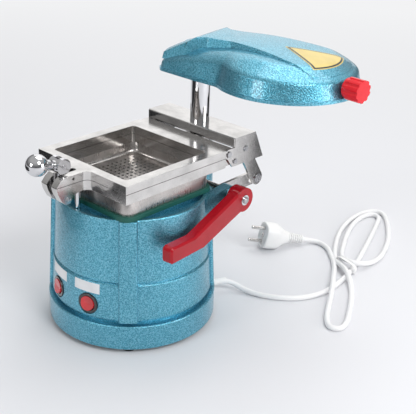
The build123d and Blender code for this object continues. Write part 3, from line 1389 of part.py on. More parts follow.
with BuildPart() as grip_knob:
    with BuildSketch(knob_seat.offset(KNOB_STANDOFF)):
        Circle(KNOB_R - 1.5)
    extrude(amount=5)
    with BuildSketch(knob_seat.offset(5)):
        Circle(KNOB_R)
        with PolarLocations(KNOB_R + 1.2, 10):
            Circle(2.6, mode=Mode.SUBTRACT)
    extrude(amount=KNOB_LENGTH - 5)
    with BuildSketch(knob_seat):
        Circle(STUD_R)
    extrude(amount=KNOB_LENGTH - 6, mode=Mode.SUBTRACT)
grip_knob.part.label = "grip_knob"
export_step(grip_knob.part, "parts/grip_knob.step")

with BuildPart() as grip_stud:
    with BuildSketch(knob_seat):
        Circle(STUD_R)
    extrude(amount=KNOB_LENGTH - 7)
    with BuildSketch(knob_seat):
        Circle(STUD_R)
    extrude(amount=-9)
    with BuildSketch(knob_seat.offset(-7)):
        RegularPolygon(STUD_R + 2.5, 6)
    extrude(amount=-3)
grip_stud.part.label = "grip_stud"
export_step(grip_stud.part, "parts/grip_stud.step")

# ================================================================ MAINS CORD
gland_wall = radial_plane(SKIRT_R, GLAND_AZIMUTH, GLAND_Z)
gland_reach = GLAND_TIP_R - SKIRT_R
with BuildPart() as cord_gland:
    with BuildSketch(gland_wall):
        Circle(GLAND_R)
    extrude(amount=-CASTING_WALL - 4)
    with BuildSketch(gland_wall.offset(0.8)):
        Circle(GLAND_R + 1.6)
    extrude(amount=2)
    with BuildSketch(gland_wall):
        Circle(GLAND_R)
    extrude(amount=gland_reach, taper=3)
    with BuildSketch(gland_wall.offset(-CASTING_WALL - 4)):
        Circle(GLAND_R + 1.2)
    extrude(amount=-1.5)
cord_gland.part.label = "cord_gland"
export_step(cord_gland.part, "parts/cord_gland.step")

cord_length = 0.0
for name, route in (("power_cord", ENTRY_ROUTE), ("plug_cord", TAIL_ROUTE)):
    radii = corner_radii(route)
    print(name, "bend radii", [round(radius, 1) for radius in radii])
    with BuildPart() as cord_run:
        with BuildLine() as cord_path:
            FilletPolyline(*route, radius=radii)
        with BuildSketch(route_plane(route[0], route[1])):
            Circle(CORD_D / 2)
        sweep()
    run_length = sum(edge.length for edge in cord_path.edges())
    section = math.pi * CORD_D**2 / 4
    print(name, "length", round(run_length, 1), "volume ratio", cord_run.part.volume / section / run_length)
    cord_length += run_length
    cord_run.part.label = name
    export_step(cord_run.part, f"parts/{name}.step")

# the coiled lengths as one flat mass, with a short stub where each free length joins
entry_end = route_plane(ENTRY_ROUTE[-1], ENTRY_ROUTE[-2])
tail_end = route_plane(TAIL_ROUTE[0], TAIL_ROUTE[1])
waist = Plane(origin=(124, 267, HANK_LOW + HANK_HEIGHT / 2), x_dir=(1, -0.27, 0), z_dir=(0.27, 1, 0))
with BuildPart() as cord_hank:
    with BuildSketch(Plane.XY.offset(HANK_LOW)):
        for loop in (HANK_LOWER_LOOP, HANK_UPPER_LOOP):
            with BuildLine():
                Polyline(*loop, close=True)
            make_face()
    extrude(amount=HANK_HEIGHT)
    with BuildSketch(waist):
        Rectangle(2 * TIE_WIDTH, HANK_HEIGHT + 2 * TIE_THICK)
        Rectangle(TIE_WIDTH - 2 * TIE_THICK, HANK_HEIGHT, mode=Mode.SUBTRACT)
    extrude(amount=TIE_BREADTH / 2, both=True, mode=Mode.SUBTRACT)
    with BuildSketch(entry_end):
        Circle(CORD_D / 2)
    extrude(amount=-12)
    with BuildSketch(tail_end):
        Circle(CORD_D / 2)
    extrude(amount=-14)
cord_hank.part.label = "cord_hank"
export_step(cord_hank.part, "parts/cord_hank.step")

# tie round the waist of the hank
with BuildPart() as hank_tie:
    with BuildSketch(waist):
        Rectangle(TIE_WIDTH, HANK_HEIGHT + 2 * TIE_THICK)
        Rectangle(TIE_WIDTH - 2 * TIE_THICK, HANK_HEIGHT, mode=Mode.SUBTRACT)
    extrude(amount=TIE_BREADTH / 2, both=True)
hank_tie.part.label = "hank_tie"
export_step(hank_tie.part, "parts/hank_tie.step")

# plug lies on its side, its cord end lower than its face
cord_end = Vector(*TAIL_ROUTE[-1])
plug_axis = (cord_end - Vector(*TAIL_ROUTE[-2])).normalized()
plug_plane = Plane(origin=cord_end, x_dir=(plug_axis.Y, -plug_axis.X, 0), z_dir=plug_axis)
with BuildPart() as plug_body:
    with BuildSketch(plug_plane):
        Circle(CORD_D / 2 + 1.2)
    extrude(amount=26, taper=-4)
    with BuildSketch(plug_plane.offset(24)):
        Circle(8.5)
    with BuildSketch(plug_plane.offset(42)):
        RectangleRounded(30, 2 * PLUG_R - 4, 12)
    loft()
    with BuildSketch(plug_plane.offset(42)):
        RectangleRounded(31, 2 * PLUG_R - 2, 13)
    extrude(amount=20)
    with BuildSketch(plug_plane.offset(62)):
        with Locations((0, PLUG_PIN_PITCH / 2), (0, -PLUG_PIN_PITCH / 2)):
            Circle(PLUG_PIN_R)
        Circle(2.5)
    extrude(amount=-12, mode=Mode.SUBTRACT)
plug_body.part.label = "plug_body"
export_step(plug_body.part, "parts/plug_body.step")

with BuildPart() as plug_pins:
    with BuildSketch(plug_plane.offset(51)):
        with Locations((0, PLUG_PIN_PITCH / 2), (0, -PLUG_PIN_PITCH / 2)):
            Circle(PLUG_PIN_R)
    extrude(amount=11 + PLUG_PIN_LENGTH)
    fillet(plug_pins.faces().sort_by(Axis(plug_plane.origin, plug_plane.z_dir))[-2:].edges(), 1.0)
plug_pins.part.label = "plug_pins"
export_step(plug_pins.part, "parts/plug_pins.step")
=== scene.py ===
"""Looks of a dental vacuum former: cast base, suction tray, sheet frames, lever and heater head."""
from __future__ import annotations

import json
import logging
import math
from dataclasses import dataclass
from enum import Enum
from typing import Callable, Sequence

import bmesh
import bpy
from mathutils import Matrix, Vector
from mathutils.bvhtree import BVHTree

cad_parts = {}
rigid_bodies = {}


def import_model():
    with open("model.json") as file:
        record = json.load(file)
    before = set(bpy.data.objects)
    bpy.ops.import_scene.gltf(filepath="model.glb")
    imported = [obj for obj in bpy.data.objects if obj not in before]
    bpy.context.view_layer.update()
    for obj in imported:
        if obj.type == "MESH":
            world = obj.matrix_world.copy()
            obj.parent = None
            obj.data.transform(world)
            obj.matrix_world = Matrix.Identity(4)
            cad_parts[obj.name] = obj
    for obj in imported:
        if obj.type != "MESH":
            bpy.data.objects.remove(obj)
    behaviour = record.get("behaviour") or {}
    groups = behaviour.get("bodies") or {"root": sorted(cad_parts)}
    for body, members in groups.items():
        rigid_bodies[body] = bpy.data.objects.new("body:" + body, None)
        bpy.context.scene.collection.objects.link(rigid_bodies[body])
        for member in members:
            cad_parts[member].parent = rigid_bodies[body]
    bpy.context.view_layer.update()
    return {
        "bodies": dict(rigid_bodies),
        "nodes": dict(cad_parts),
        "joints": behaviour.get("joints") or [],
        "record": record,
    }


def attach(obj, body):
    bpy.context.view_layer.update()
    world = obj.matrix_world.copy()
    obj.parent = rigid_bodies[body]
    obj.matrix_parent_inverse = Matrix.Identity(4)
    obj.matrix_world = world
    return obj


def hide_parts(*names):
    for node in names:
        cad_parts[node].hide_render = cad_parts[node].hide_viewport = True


LOG = logging.getLogger("vacuum_former")
MM = 0.001
# edges turned more than this, in degrees, count as sharp
SHARP_DEG = 32.0
# faces that turn less than this, in degrees, are one flat face
FLAT_DEG = 0.6
# corners of CAD meshes nearer than this, in metres, are one
WELD = 2e-6
TINY = 1e-6
Rgb = tuple[float, float, float]
Triple = tuple[float, float, float]
Pair = tuple[float, float]
Tree = bpy.types.NodeTree
Node = bpy.types.Node
Socket = bpy.types.NodeSocket
Material = bpy.types.Material
Piece = bpy.types.Object
Shape = bmesh.types.BMesh
Edge = bmesh.types.BMEdge


def mm(*values: float) -> Vector:
    """Position given in millimetres, as a vector in metres."""
    return Vector(values) * MM


# ---------------------------------------------------------------- shared shader groups
def add_sockets(tree: Tree, side: str, kind: str, *names: str, value: object = None) -> None:
    """Add named sockets of one kind to a shader group.

    Args:
        tree: the group's node tree.
        side: INPUT or OUTPUT.
        kind: the sockets' type, such as NodeSocketFloat.
        names: the sockets' names.
        value: their default value, if any.
    """
    for name in names:
        item = tree.interface.new_socket(name=name, in_out=side, socket_type=kind)
        if value is not None:
            item.default_value = value


def feed(tree: Tree, value: object, socket: Socket) -> None:
    """Give an input socket a number, a vector, a colour or a link."""
    if isinstance(value, Socket):
        tree.links.new(value, socket)
    else:
        socket.default_value = (*value, 1.0) if socket.type == "RGBA" else value


def fill(tree: Tree, node: Node, **values: object) -> None:
    """Feed a node's inputs by name, with _ for a space."""
    for name, value in values.items():
        feed(tree, value, node.inputs[name.replace("_", " ")])


def math_node(tree: Tree, operation: str, *values: object) -> Socket:
    """Add a Math node, fed with numbers or sockets, and return its output."""
    node = tree.nodes.new("ShaderNodeMath")
    node.operation = operation
    for index, value in enumerate(values):
        feed(tree, value, node.inputs[index])
    return node.outputs[0]


def vector_node(tree: Tree, operation: str, *values: object, out: str = "Vector") -> Socket:
    """Add a Vector Math node, fed with vectors or sockets, and return one output."""
    node = tree.nodes.new("ShaderNodeVectorMath")
    node.operation = operation
    for index, value in enumerate(values):
        feed(tree, value, node.inputs[index])
    return node.outputs[out]


def noise(tree: Tree, where: Socket, scale: object, detail: float = 2.0, out: str = "Fac") -> Socket:
    """Add a Noise texture read at a place and return one output."""
    node = tree.nodes.new("ShaderNodeTexNoise")
    fill(tree, node, Detail=detail, Scale=scale, Vector=where)
    return node.outputs[out]


def spread(tree: Tree, value: Socket, low: float, high: float, to_low: object = 0.0,
           to_high: object = 1.0) -> Socket:
    """Map a value from one range to another, clamped.

    Args:
        tree: the tree it goes in.
        value: the socket that is mapped.
        low: the value that gives to_low.
        high: the value that gives to_high.
        to_low: a number or socket.
        to_high: a number or socket.

    Returns:
        The mapped value's socket.
    """
    node = tree.nodes.new("ShaderNodeMapRange")
    fill(tree, node, Value=value, From_Min=low, From_Max=high, To_Min=to_low, To_Max=to_high)
    return node.outputs["Result"]


def blend_colour(tree: Tree, share: object, first: object, second: object) -> Socket:
    """Mix two colours by a share and return the result's socket."""
    node = tree.nodes.new("ShaderNodeMix")
    node.data_type = "RGBA"
    for index, value in ((0, share), (6, first), (7, second)):
        feed(tree, value, node.inputs[index])
    return node.outputs[2]


class Effect(Enum):
    """The effects that several finishes share, each one shader group."""

    HAMMER = "hammered enamel"
    GRAIN = "brushed grain"
    MOULDED = "moulded skin"
    WEAR = "handling marks"


class ShaderGroups:
    """Builds each shared shader group once and hands it out."""

    def __init__(self) -> None:
        """Start with no group built."""
        self.built: dict[Effect, Tree] = {}

    def get(self, effect: Effect) -> Tree:
        """Return the group of an effect, building it on first use."""
        if effect not in self.built:
            maker = {Effect.HAMMER: self.hammer, Effect.GRAIN: self.grain,
                     Effect.MOULDED: self.moulded, Effect.WEAR: self.wear}[effect]
            self.built[effect] = maker()
        return self.built[effect]

    @staticmethod
    def start(name: str, *outputs: str) -> tuple[Tree, Node, Node]:
        """Return a new group tree with its input and output nodes."""
        tree = bpy.data.node_groups.new(name, "ShaderNodeTree")
        add_sockets(tree, "INPUT", "NodeSocketVector", "Place")
        add_sockets(tree, "OUTPUT", "NodeSocketFloat", *outputs)
        return tree, tree.nodes.new("NodeGroupInput"), tree.nodes.new("NodeGroupOutput")

    def hammer(self) -> Tree:
        """Hammertone enamel: pooled cells with pale rims, over slow drifts of tone."""
        tree, source, sink = self.start(Effect.HAMMER.value, "Cells", "Drift")
        add_sockets(tree, "INPUT", "NodeSocketFloat", "Cell Scale", value=700.0)
        place = source.outputs["Place"]
        warp = noise(tree, place, 300.0, out="Color")
        cells = tree.nodes.new("ShaderNodeTexVoronoi")
        cells.feature = "SMOOTH_F1"
        fill(tree, cells, Smoothness=0.35, Scale=source.outputs["Cell Scale"],
             Vector=vector_node(tree, "MULTIPLY_ADD", warp, (0.0016, 0.0016, 0.0016), place))
        rims = spread(tree, cells.outputs["Distance"], 0.25, 0.62)
        fleck = spread(tree, noise(tree, place, 900.0, 3.0), 0.42, 0.66)
        mixed = math_node(tree, "MULTIPLY_ADD", fleck, 0.35, math_node(tree, "MULTIPLY", rims, 0.65))
        fill(tree, sink, Cells=mixed, Drift=noise(tree, place, 24.0, 3.0))
        return tree

    def grain(self) -> Tree:
        """Fine lines of rolled or brushed metal along one axis, with faint cloudy stains."""
        tree, source, sink = self.start(Effect.GRAIN.value, "Lines", "Cloud")
        add_sockets(tree, "INPUT", "NodeSocketVector", "Stretch", value=(60.0, 2200.0, 2200.0))
        place = source.outputs["Place"]
        scaled = vector_node(tree, "MULTIPLY", place, source.outputs["Stretch"])
        fill(tree, sink, Lines=noise(tree, scaled, 1.0), Cloud=noise(tree, place, 45.0, 4.0))
        return tree

    def moulded(self) -> Tree:
        """Very fine skin of moulded plastic or rubber, with soft uneven sheen."""
        tree, source, sink = self.start(Effect.MOULDED.value, "Skin", "Sheen")
        add_sockets(tree, "INPUT", "NodeSocketFloat", "Skin Scale", value=1800.0)
        place = source.outputs["Place"]
        fill(tree, sink, Skin=noise(tree, place, source.outputs["Skin Scale"]),
             Sheen=noise(tree, place, 60.0, 3.0))
        return tree

    def wear(self) -> Tree:
        """Smudges from handling: patchy soft prints and a few fine scratches."""
        tree, source, sink = self.start(Effect.WEAR.value, "Smudge", "Scratch")
        place = source.outputs["Place"]
        long_lines = vector_node(tree, "MULTIPLY", place, (1500.0, 30.0, 240.0))
        fill(tree, sink, Smudge=spread(tree, noise(tree, place, 38.0, 4.0), 0.48, 0.72),
             Scratch=spread(tree, noise(tree, long_lines, 1.0, 1.0), 0.70, 0.78))
        return tree


GROUPS = ShaderGroups()


# ---------------------------------------------------------------- finishes
@dataclass(frozen=True)
class Finish:
    """A surface finish; each kind of finish adds its own nodes."""

    name: str
    colour: Rgb
    roughness: float = 0.5
    slot: str = ""

    def build(self) -> Material:
        """Build the material, with the nodes of its kind."""
        material = bpy.data.materials.new(self.name)
        material.use_nodes = True
        material.diffuse_color = (*self.colour, 1.0)
        tree = material.node_tree
        shader = tree.nodes["Principled BSDF"]
        fill(tree, shader, Roughness=self.roughness, Base_Color=self.colour)
        self.surface(tree, shader, tree.nodes.new("ShaderNodeTexCoord").outputs["Object"])
        return material

    def deeper(self, share: float) -> Rgb:
        """Return the finish's colour, darkened to a share of itself."""
        return tuple(value * share for value in self.colour)

    @staticmethod
    def effect(tree: Tree, effect: Effect, place: Socket, **values: object) -> Node:
        """Place a shared group in a material.

        Args:
            tree: the material's tree.
            effect: which group.
            place: the coordinates that it reads.
            values: its own input values, with _ for a space.

        Returns:
            The group node.
        """
        node = tree.nodes.new("ShaderNodeGroup")
        node.node_tree = GROUPS.get(effect)
        fill(tree, node, Place=place, **values)
        return node

    @staticmethod
    def bump(tree: Tree, shader: Node, height: Socket, distance: float, strength: float = 1.0) -> None:
        """Drive the shader's normal from a height in metres."""
        node = tree.nodes.new("ShaderNodeBump")
        fill(tree, node, Distance=distance, Strength=strength, Height=height)
        fill(tree, shader, Normal=node.outputs["Normal"])

    def surface(self, tree: Tree, shader: Node, place: Socket) -> None:
        """Add the nodes of this kind: a plain finish has a moulded skin."""
        skin = self.effect(tree, Effect.MOULDED, place)
        fill(tree, shader, Roughness=spread(tree, skin.outputs["Sheen"], 0.3, 0.7, self.roughness * 0.85,
                                            min(1.0, self.roughness * 1.2)))
        self.bump(tree, shader, skin.outputs["Skin"], 0.00004)


@dataclass(frozen=True)
class Hammertone(Finish):
    """Hammertone enamel on a casting: dark pools in a paler metallic tone."""

    pale: Rgb = (0.32, 0.68, 0.82)
    dark: Rgb = (0.018, 0.17, 0.265)
    cell_scale: float = 700.0

    def surface(self, tree: Tree, shader: Node, place: Socket) -> None:
        """Add the nodes of this kind."""
        hammer = self.effect(tree, Effect.HAMMER, place, Cell_Scale=self.cell_scale)
        wear = self.effect(tree, Effect.WEAR, place)
        drift = spread(tree, hammer.outputs["Drift"], 0.3, 0.7, 0.0, 0.1)
        base = blend_colour(tree, drift, self.colour, self.dark)
        pools = spread(tree, hammer.outputs["Cells"], 0.15, 0.6, 0.35, 1.0)
        rims = blend_colour(tree, pools, self.dark, base)
        crests = spread(tree, hammer.outputs["Cells"], 0.55, 0.95, 0.0, 0.5)
        rough = spread(tree, wear.outputs["Smudge"], 0.0, 1.0, self.roughness, self.roughness + 0.1)
        fill(tree, shader, Base_Color=blend_colour(tree, crests, rims, self.pale), Roughness=rough,
             Metallic=0.9, Coat_Weight=0.6, Coat_Roughness=0.10)
        self.bump(tree, shader, hammer.outputs["Cells"], 0.00030, 0.8)


@dataclass(frozen=True)
class BareMetal(Finish):
    """Plated, brushed or polished metal with grain, smudges and scratches."""

    stretch: Triple = (60.0, 2200.0, 2200.0)
    grain_depth: float = 0.000012
    cloud: float = 0.10

    def surface(self, tree: Tree, shader: Node, place: Socket) -> None:
        """Add the nodes of this kind."""
        grain = self.effect(tree, Effect.GRAIN, place, Stretch=self.stretch)
        wear = self.effect(tree, Effect.WEAR, place)
        tone = blend_colour(tree, spread(tree, grain.outputs["Cloud"], 0.35, 0.68), self.colour,
                            self.deeper(1.0 - 2.2 * self.cloud))
        lines = spread(tree, grain.outputs["Lines"], 0.25, 0.75, self.roughness * 0.8, self.roughness * 1.3)
        smudged = math_node(tree, "MULTIPLY_ADD", wear.outputs["Smudge"], 0.07, lines)
        marked = math_node(tree, "MULTIPLY_ADD", wear.outputs["Scratch"], 0.12, smudged)
        fill(tree, shader, Metallic=1.0, Base_Color=tone, Roughness=marked)
        self.bump(tree, shader, grain.outputs["Lines"], self.grain_depth)


@dataclass(frozen=True)
class GlossEnamel(Finish):
    """Thick glossy enamel or plastic with a faint orange-peel ripple."""

    ripple: float = 0.00006
    coat: float = 0.8
    specular: float = 0.5

    def surface(self, tree: Tree, shader: Node, place: Socket) -> None:
        """Add the nodes of this kind."""
        skin = self.effect(tree, Effect.MOULDED, place, Skin_Scale=420.0)
        wear = self.effect(tree, Effect.WEAR, place)
        tone = blend_colour(tree, spread(tree, skin.outputs["Sheen"], 0.3, 0.75), self.colour,
                            self.deeper(0.85))
        rough = math_node(tree, "MULTIPLY_ADD", wear.outputs["Smudge"], 0.05, self.roughness)
        fill(tree, shader, Base_Color=tone, Roughness=rough, Coat_Weight=self.coat, Coat_Roughness=0.05,
             Specular_IOR_Level=self.specular)
        self.bump(tree, shader, skin.outputs["Skin"], self.ripple)


@dataclass(frozen=True)
class LampPlastic(Finish):
    """Clear coloured lens of a lamp switch, deeper in colour in soft random patches."""

    glow: float = 0.12

    def surface(self, tree: Tree, shader: Node, place: Socket) -> None:
        """Add the nodes of this kind."""
        skin = self.effect(tree, Effect.MOULDED, place, Skin_Scale=700.0)
        tone = blend_colour(tree, spread(tree, skin.outputs["Sheen"], 0.3, 0.7), self.colour,
                            self.deeper(0.6))
        fill(tree, shader, Base_Color=tone, Transmission_Weight=0.35, Coat_Weight=0.7,
             Emission_Color=self.colour, Emission_Strength=self.glow)
        self.bump(tree, shader, skin.outputs["Skin"], 0.00003)


@dataclass(frozen=True)
class FinishSet:
    """Every finish of the machine."""

    casting: Finish = Hammertone("teal hammertone", (0.12, 0.445, 0.59), 0.29, "hammertone_casting")
    nickel: Finish = BareMetal("satin nickel", (0.72, 0.705, 0.69), 0.15, "nickel_plate")
    chrome: Finish = BareMetal("polished chrome", (0.72, 0.72, 0.735), 0.03, "chrome_plate",
                               stretch=(900.0, 900.0, 40.0), grain_depth=0.000003, cloud=0.03)
    tray: Finish = BareMetal("drawn stainless", (0.60, 0.57, 0.55), 0.26, "satin_stainless",
                             stretch=(1500.0, 1500.0, 120.0))
    zinc: Finish = BareMetal("zinc plated steel", (0.62, 0.62, 0.64), 0.24, "zinc_steel",
                             stretch=(500.0, 500.0, 500.0), cloud=0.16)
    fan: Finish = BareMetal("cast fan alloy", (0.55, 0.55, 0.56), 0.42, "cast_fan",
                            stretch=(400.0, 400.0, 400.0), grain_depth=0.00003)
    bronze: Finish = BareMetal("bearing bronze", (0.50, 0.33, 0.14), 0.30, "bronze_bush",
                               stretch=(60.0, 1500.0, 1500.0))
    ribbon: Finish = BareMetal("oxidised heating ribbon", (0.20, 0.17, 0.16), 0.45, "dark_element",
                               stretch=(700.0, 700.0, 700.0), grain_depth=0.00003, cloud=0.3)
    red_lever: Finish = GlossEnamel("red enamel", (0.42, 0.003, 0.012), 0.17, "red_enamel", coat=0.15,
                                    specular=0.32)
    red_knob: Finish = GlossEnamel("red moulding", (0.84, 0.018, 0.03), 0.24, "red_plastic",
                                   ripple=0.00003, coat=0.2, specular=0.35)
    black_paint: Finish = GlossEnamel("black plate enamel", (0.02, 0.02, 0.022), 0.45, "black_steel",
                                      coat=0.2)
    motor_paint: Finish = GlossEnamel("grey motor enamel", (0.10, 0.105, 0.11), 0.42, "motor_steel",
                                      coat=0.2)
    bezel: Finish = GlossEnamel("black bezel", (0.012, 0.012, 0.013), 0.22, "black_plastic", ripple=0.00002)
    lens: Finish = LampPlastic("red rocker lens", (0.72, 0.02, 0.03), 0.12, "translucent_red")
    gasket: Finish = Finish("green silicone", (0.004, 0.095, 0.072), 0.5, "green_silicone")
    rubber: Finish = Finish("black rubber", (0.018, 0.018, 0.018), 0.75, "black_rubber")
    cord: Finish = Finish("white cord sheath", (0.88, 0.88, 0.885), 0.42, "white_cord")
    white: Finish = Finish("white moulding", (0.88, 0.88, 0.875), 0.34, "white_plastic")
    ceramic: Finish = Finish("white ceramic", (0.74, 0.71, 0.64), 0.7, "ceramic_white")
    plate_white: Finish = GlossEnamel("white switch plate", (0.80, 0.82, 0.84), 0.34, "white_plastic",
                                      coat=0.3)
    plate_yellow: Finish = GlossEnamel("yellow plate", (0.78, 0.60, 0.17), 0.36, "white_plastic", coat=0.3)
    plate_border: Finish = GlossEnamel("dark plate border", (0.02, 0.03, 0.035), 0.36, "black_plastic",
                                       coat=0.3)


class Workshop:
    """Builds the materials once, and finishes pieces of the machine."""

    def __init__(self, finishes: FinishSet) -> None:
        """Keep the set of finishes; materials are built on first use."""
        self.finishes = finishes
        self.materials: dict[str, Material] = {}

    def material(self, finish: Finish) -> Material:
        """Return the material of a finish, building it on first use."""
        if finish.name not in self.materials:
            self.materials[finish.name] = finish.build()
        return self.materials[finish.name]

    def finish_piece(self, shape: Shape, name: str, finish: Finish, body: str, sharp_deg: float = SHARP_DEG,
                     recalc: bool = True, stands_for: str = "") -> Piece:
        """Turn a bmesh into a finished piece that rides on a body.

        Args:
            shape: the mesh, in metres and in place; it is freed.
            name: the piece's name.
            finish: its finish.
            body: the body that it rides on.
            sharp_deg: edges that turn more than this stay sharp.
            recalc: whether the faces are turned outwards first.
            stands_for: the CAD node that it replaces, if any.

        Returns:
            The new object.
        """
        if recalc:
            bmesh.ops.recalc_face_normals(shape, faces=shape.faces)
        limit = math.radians(sharp_deg)
        for face in shape.faces:
            face.smooth = True
        for edge in shape.edges:
            edge.smooth = not edge.is_manifold or edge.calc_face_angle(0.0) < limit
        piece = meshed(name, shape)
        piece.data.materials.append(self.material(finish))
        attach(piece, body)
        if stands_for:
            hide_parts(stands_for)
        LOG.info("%s: %d faces", name, len(piece.data.polygons))
        return piece

    def dress(self, frame: dict, finish: Finish, *nodes: str) -> None:
        """Give CAD nodes that stay as they are their material."""
        for node in nodes:
            piece = frame["nodes"][node]
            piece.data.materials.clear()
            piece.data.materials.append(self.material(finish))
            LOG.info("%s: %s", node, finish.name)

    def softened(self, frame: dict, node: str, finish: Finish, body: str, edge_mm: float, steps: int) -> None:
        """Replace a CAD node by a copy whose sharp edges are rounded.

        Args:
            frame: the loaded frame.
            node: the CAD node.
            finish: the copy's finish.
            body: the body that it rides on.
            edge_mm: the width of the rounding.
            steps: the steps of the rounding.
        """
        shape = copied(frame, node)
        bmesh.ops.dissolve_limit(shape, angle_limit=math.radians(FLAT_DEG), verts=shape.verts,
                                 edges=shape.edges)
        round_edges(shape, [edge for edge in shape.edges if turns_by(edge, SHARP_DEG)], edge_mm, steps)
        bmesh.ops.triangulate(shape, faces=[face for face in shape.faces if len(face.verts) > 4])
        piece = self.finish_piece(shape, f"{node}_body", finish, body, sharp_deg=40.0, recalc=False,
                                  stands_for=node)
        # large flat faces stay flat to the light where rounded edges meet them
        weigh = piece.modifiers.new("flat faces", "WEIGHTED_NORMAL")
        weigh.keep_sharp = True
        weigh.weight = 90


# ---------------------------------------------------------------- mesh helpers
def placed(name: str, data: bpy.types.ID) -> Piece:
    """Make an object of some data and put it in the scene."""
    item = bpy.data.objects.new(name, data)
    bpy.context.scene.collection.objects.link(item)
    return item


def meshed(name: str, shape: Shape) -> Piece:
    """Turn a bmesh into an object in the scene, and free it."""
    mesh = bpy.data.meshes.new(name)
    shape.to_mesh(mesh)
    shape.free()
    return placed(name, mesh)


def turns_by(edge: Edge, degrees: float) -> bool:
    """Whether the faces at an edge turn by more than an angle."""
    return edge.is_manifold and edge.calc_face_angle(0.0) > math.radians(degrees)


def round_edges(shape: Shape, edges: list[Edge], width_mm: float, steps: int) -> None:
    """Round some edges of a bmesh."""
    bmesh.ops.bevel(shape, geom=edges, offset=width_mm * MM, offset_type="OFFSET", affect="EDGES",
                    segments=steps, profile=0.5, material=-1, clamp_overlap=True)


def copied(frame: dict, node: str) -> Shape:
    """Copy a CAD node's mesh, with its triangles joined."""
    shape = bmesh.new()
    shape.from_mesh(frame["nodes"][node].data)
    bmesh.ops.remove_doubles(shape, verts=shape.verts, dist=WELD)
    bmesh.ops.dissolve_degenerate(shape, edges=shape.edges, dist=TINY)
    return shape


def soft_square(shape: Shape, count: int, height: float, half_x: float, half_y: float,
                power: float) -> list[Edge]:
    """Add one closed rounded outline across local Z to a bmesh.

    Args:
        shape: the bmesh.
        count: the outline's points.
        height: its height, in millimetres.
        half_x: its half width.
        half_y: its half depth.
        power: its squareness, from 2 for an ellipse up.

    Returns:
        Its edges.
    """
    verts = bmesh.ops.create_circle(shape, cap_ends=False, segments=count, radius=1.0)["verts"]
    for vert in verts:
        across, deep, _ = vert.co
        vert.co = (math.copysign(abs(across) ** (2.0 / power), across) * half_x * MM,
                   math.copysign(abs(deep) ** (2.0 / power), deep) * half_y * MM, height * MM)
    return list(dict.fromkeys(edge for vert in verts for edge in vert.link_edges))


def lathe(profile_mm: Sequence[Pair], axis_at: Matrix, steps: int = 64) -> Shape:
    """Spin a profile of (radius, height) in millimetres about local Z.

    Args:
        profile_mm: the profile's points, from one end to the other.
        axis_at: where the axis stands.
        steps: the number of steps of the spin.

    Returns:
        The closed bmesh, in metres and in place.
    """
    shape = bmesh.new()
    verts = [shape.verts.new((radius * MM, 0.0, height * MM)) for radius, height in profile_mm]
    edges = [shape.edges.new(pair) for pair in zip(verts, verts[1:])]
    bmesh.ops.spin(shape, geom=verts + edges, cent=(0, 0, 0), axis=(0, 0, 1), angle=math.tau,
                   steps=steps, use_merge=True, use_duplicate=False)
    bmesh.ops.remove_doubles(shape, verts=shape.verts, dist=TINY)
    bmesh.ops.transform(shape, matrix=axis_at, verts=shape.verts)
    return shape


def ribs(count: int, start: Pair, step: Pair, profile: Sequence[Pair]) -> list[Pair]:
    """Repeat a rib's profile up a sleeve; points are (radius, height) in millimetres.

    Args:
        count: the number of ribs.
        start: where the first rib starts.
        step: how far each rib starts from the one before.
        profile: one rib's points, from its start.

    Returns:
        The points of all ribs.
    """
    return [(start[0] + step[0] * index + radius, start[1] + step[1] * index + height)
            for index in range(count) for radius, height in profile]


def stand(origin: Vector, along: Vector, up: Vector = Vector((0, 0, 1))) -> Matrix:
    """Matrix whose local Z runs along a direction and whose local Y leans to up."""
    z = along.normalized()
    x = up.cross(z)
    x = x.normalized() if x.length > TINY else Vector((1, 0, 0))
    y = z.cross(x)
    turned = Matrix((x, y, z)).transposed().to_4x4()
    turned.translation = origin
    return turned


def loft(sections: Sequence[tuple[float, float, float, float]], at: Matrix, count: int = 48,
         capped: bool = True) -> Shape:
    """Loft rounded outlines along local Z.

    Args:
        sections: (height, half width, half depth, squareness) of each outline, in millimetres.
        at: where the loft stands.
        count: the points of each outline.
        capped: whether both ends are closed.

    Returns:
        The bmesh, in metres and in place.
    """
    shape = bmesh.new()
    before: list[Edge] = []
    for index, section in enumerate(sections):
        edges = soft_square(shape, count, *section)
        if before:
            bmesh.ops.bridge_loops(shape, edges=before + edges)
        if capped and index in (0, len(sections) - 1):
            bmesh.ops.contextual_create(shape, geom=edges)
        before = edges
    bmesh.ops.transform(shape, matrix=at, verts=shape.verts)
    return shape


def smooth(value: float, low: float, high: float) -> float:
    """Ease from 0 at one value to 1 at another."""
    share = min(1.0, max(0.0, (value - low) / (high - low)))
    return share * share * (3.0 - 2.0 * share)


def joined(first: Shape, *others: Shape) -> Shape:
    """Merge several bmeshes into the first one and return it."""
    for other in others:
        store = bpy.data.meshes.new("joining")
        other.to_mesh(store)
        other.free()
        first.from_mesh(store)
        bpy.data.meshes.remove(store)
    return first


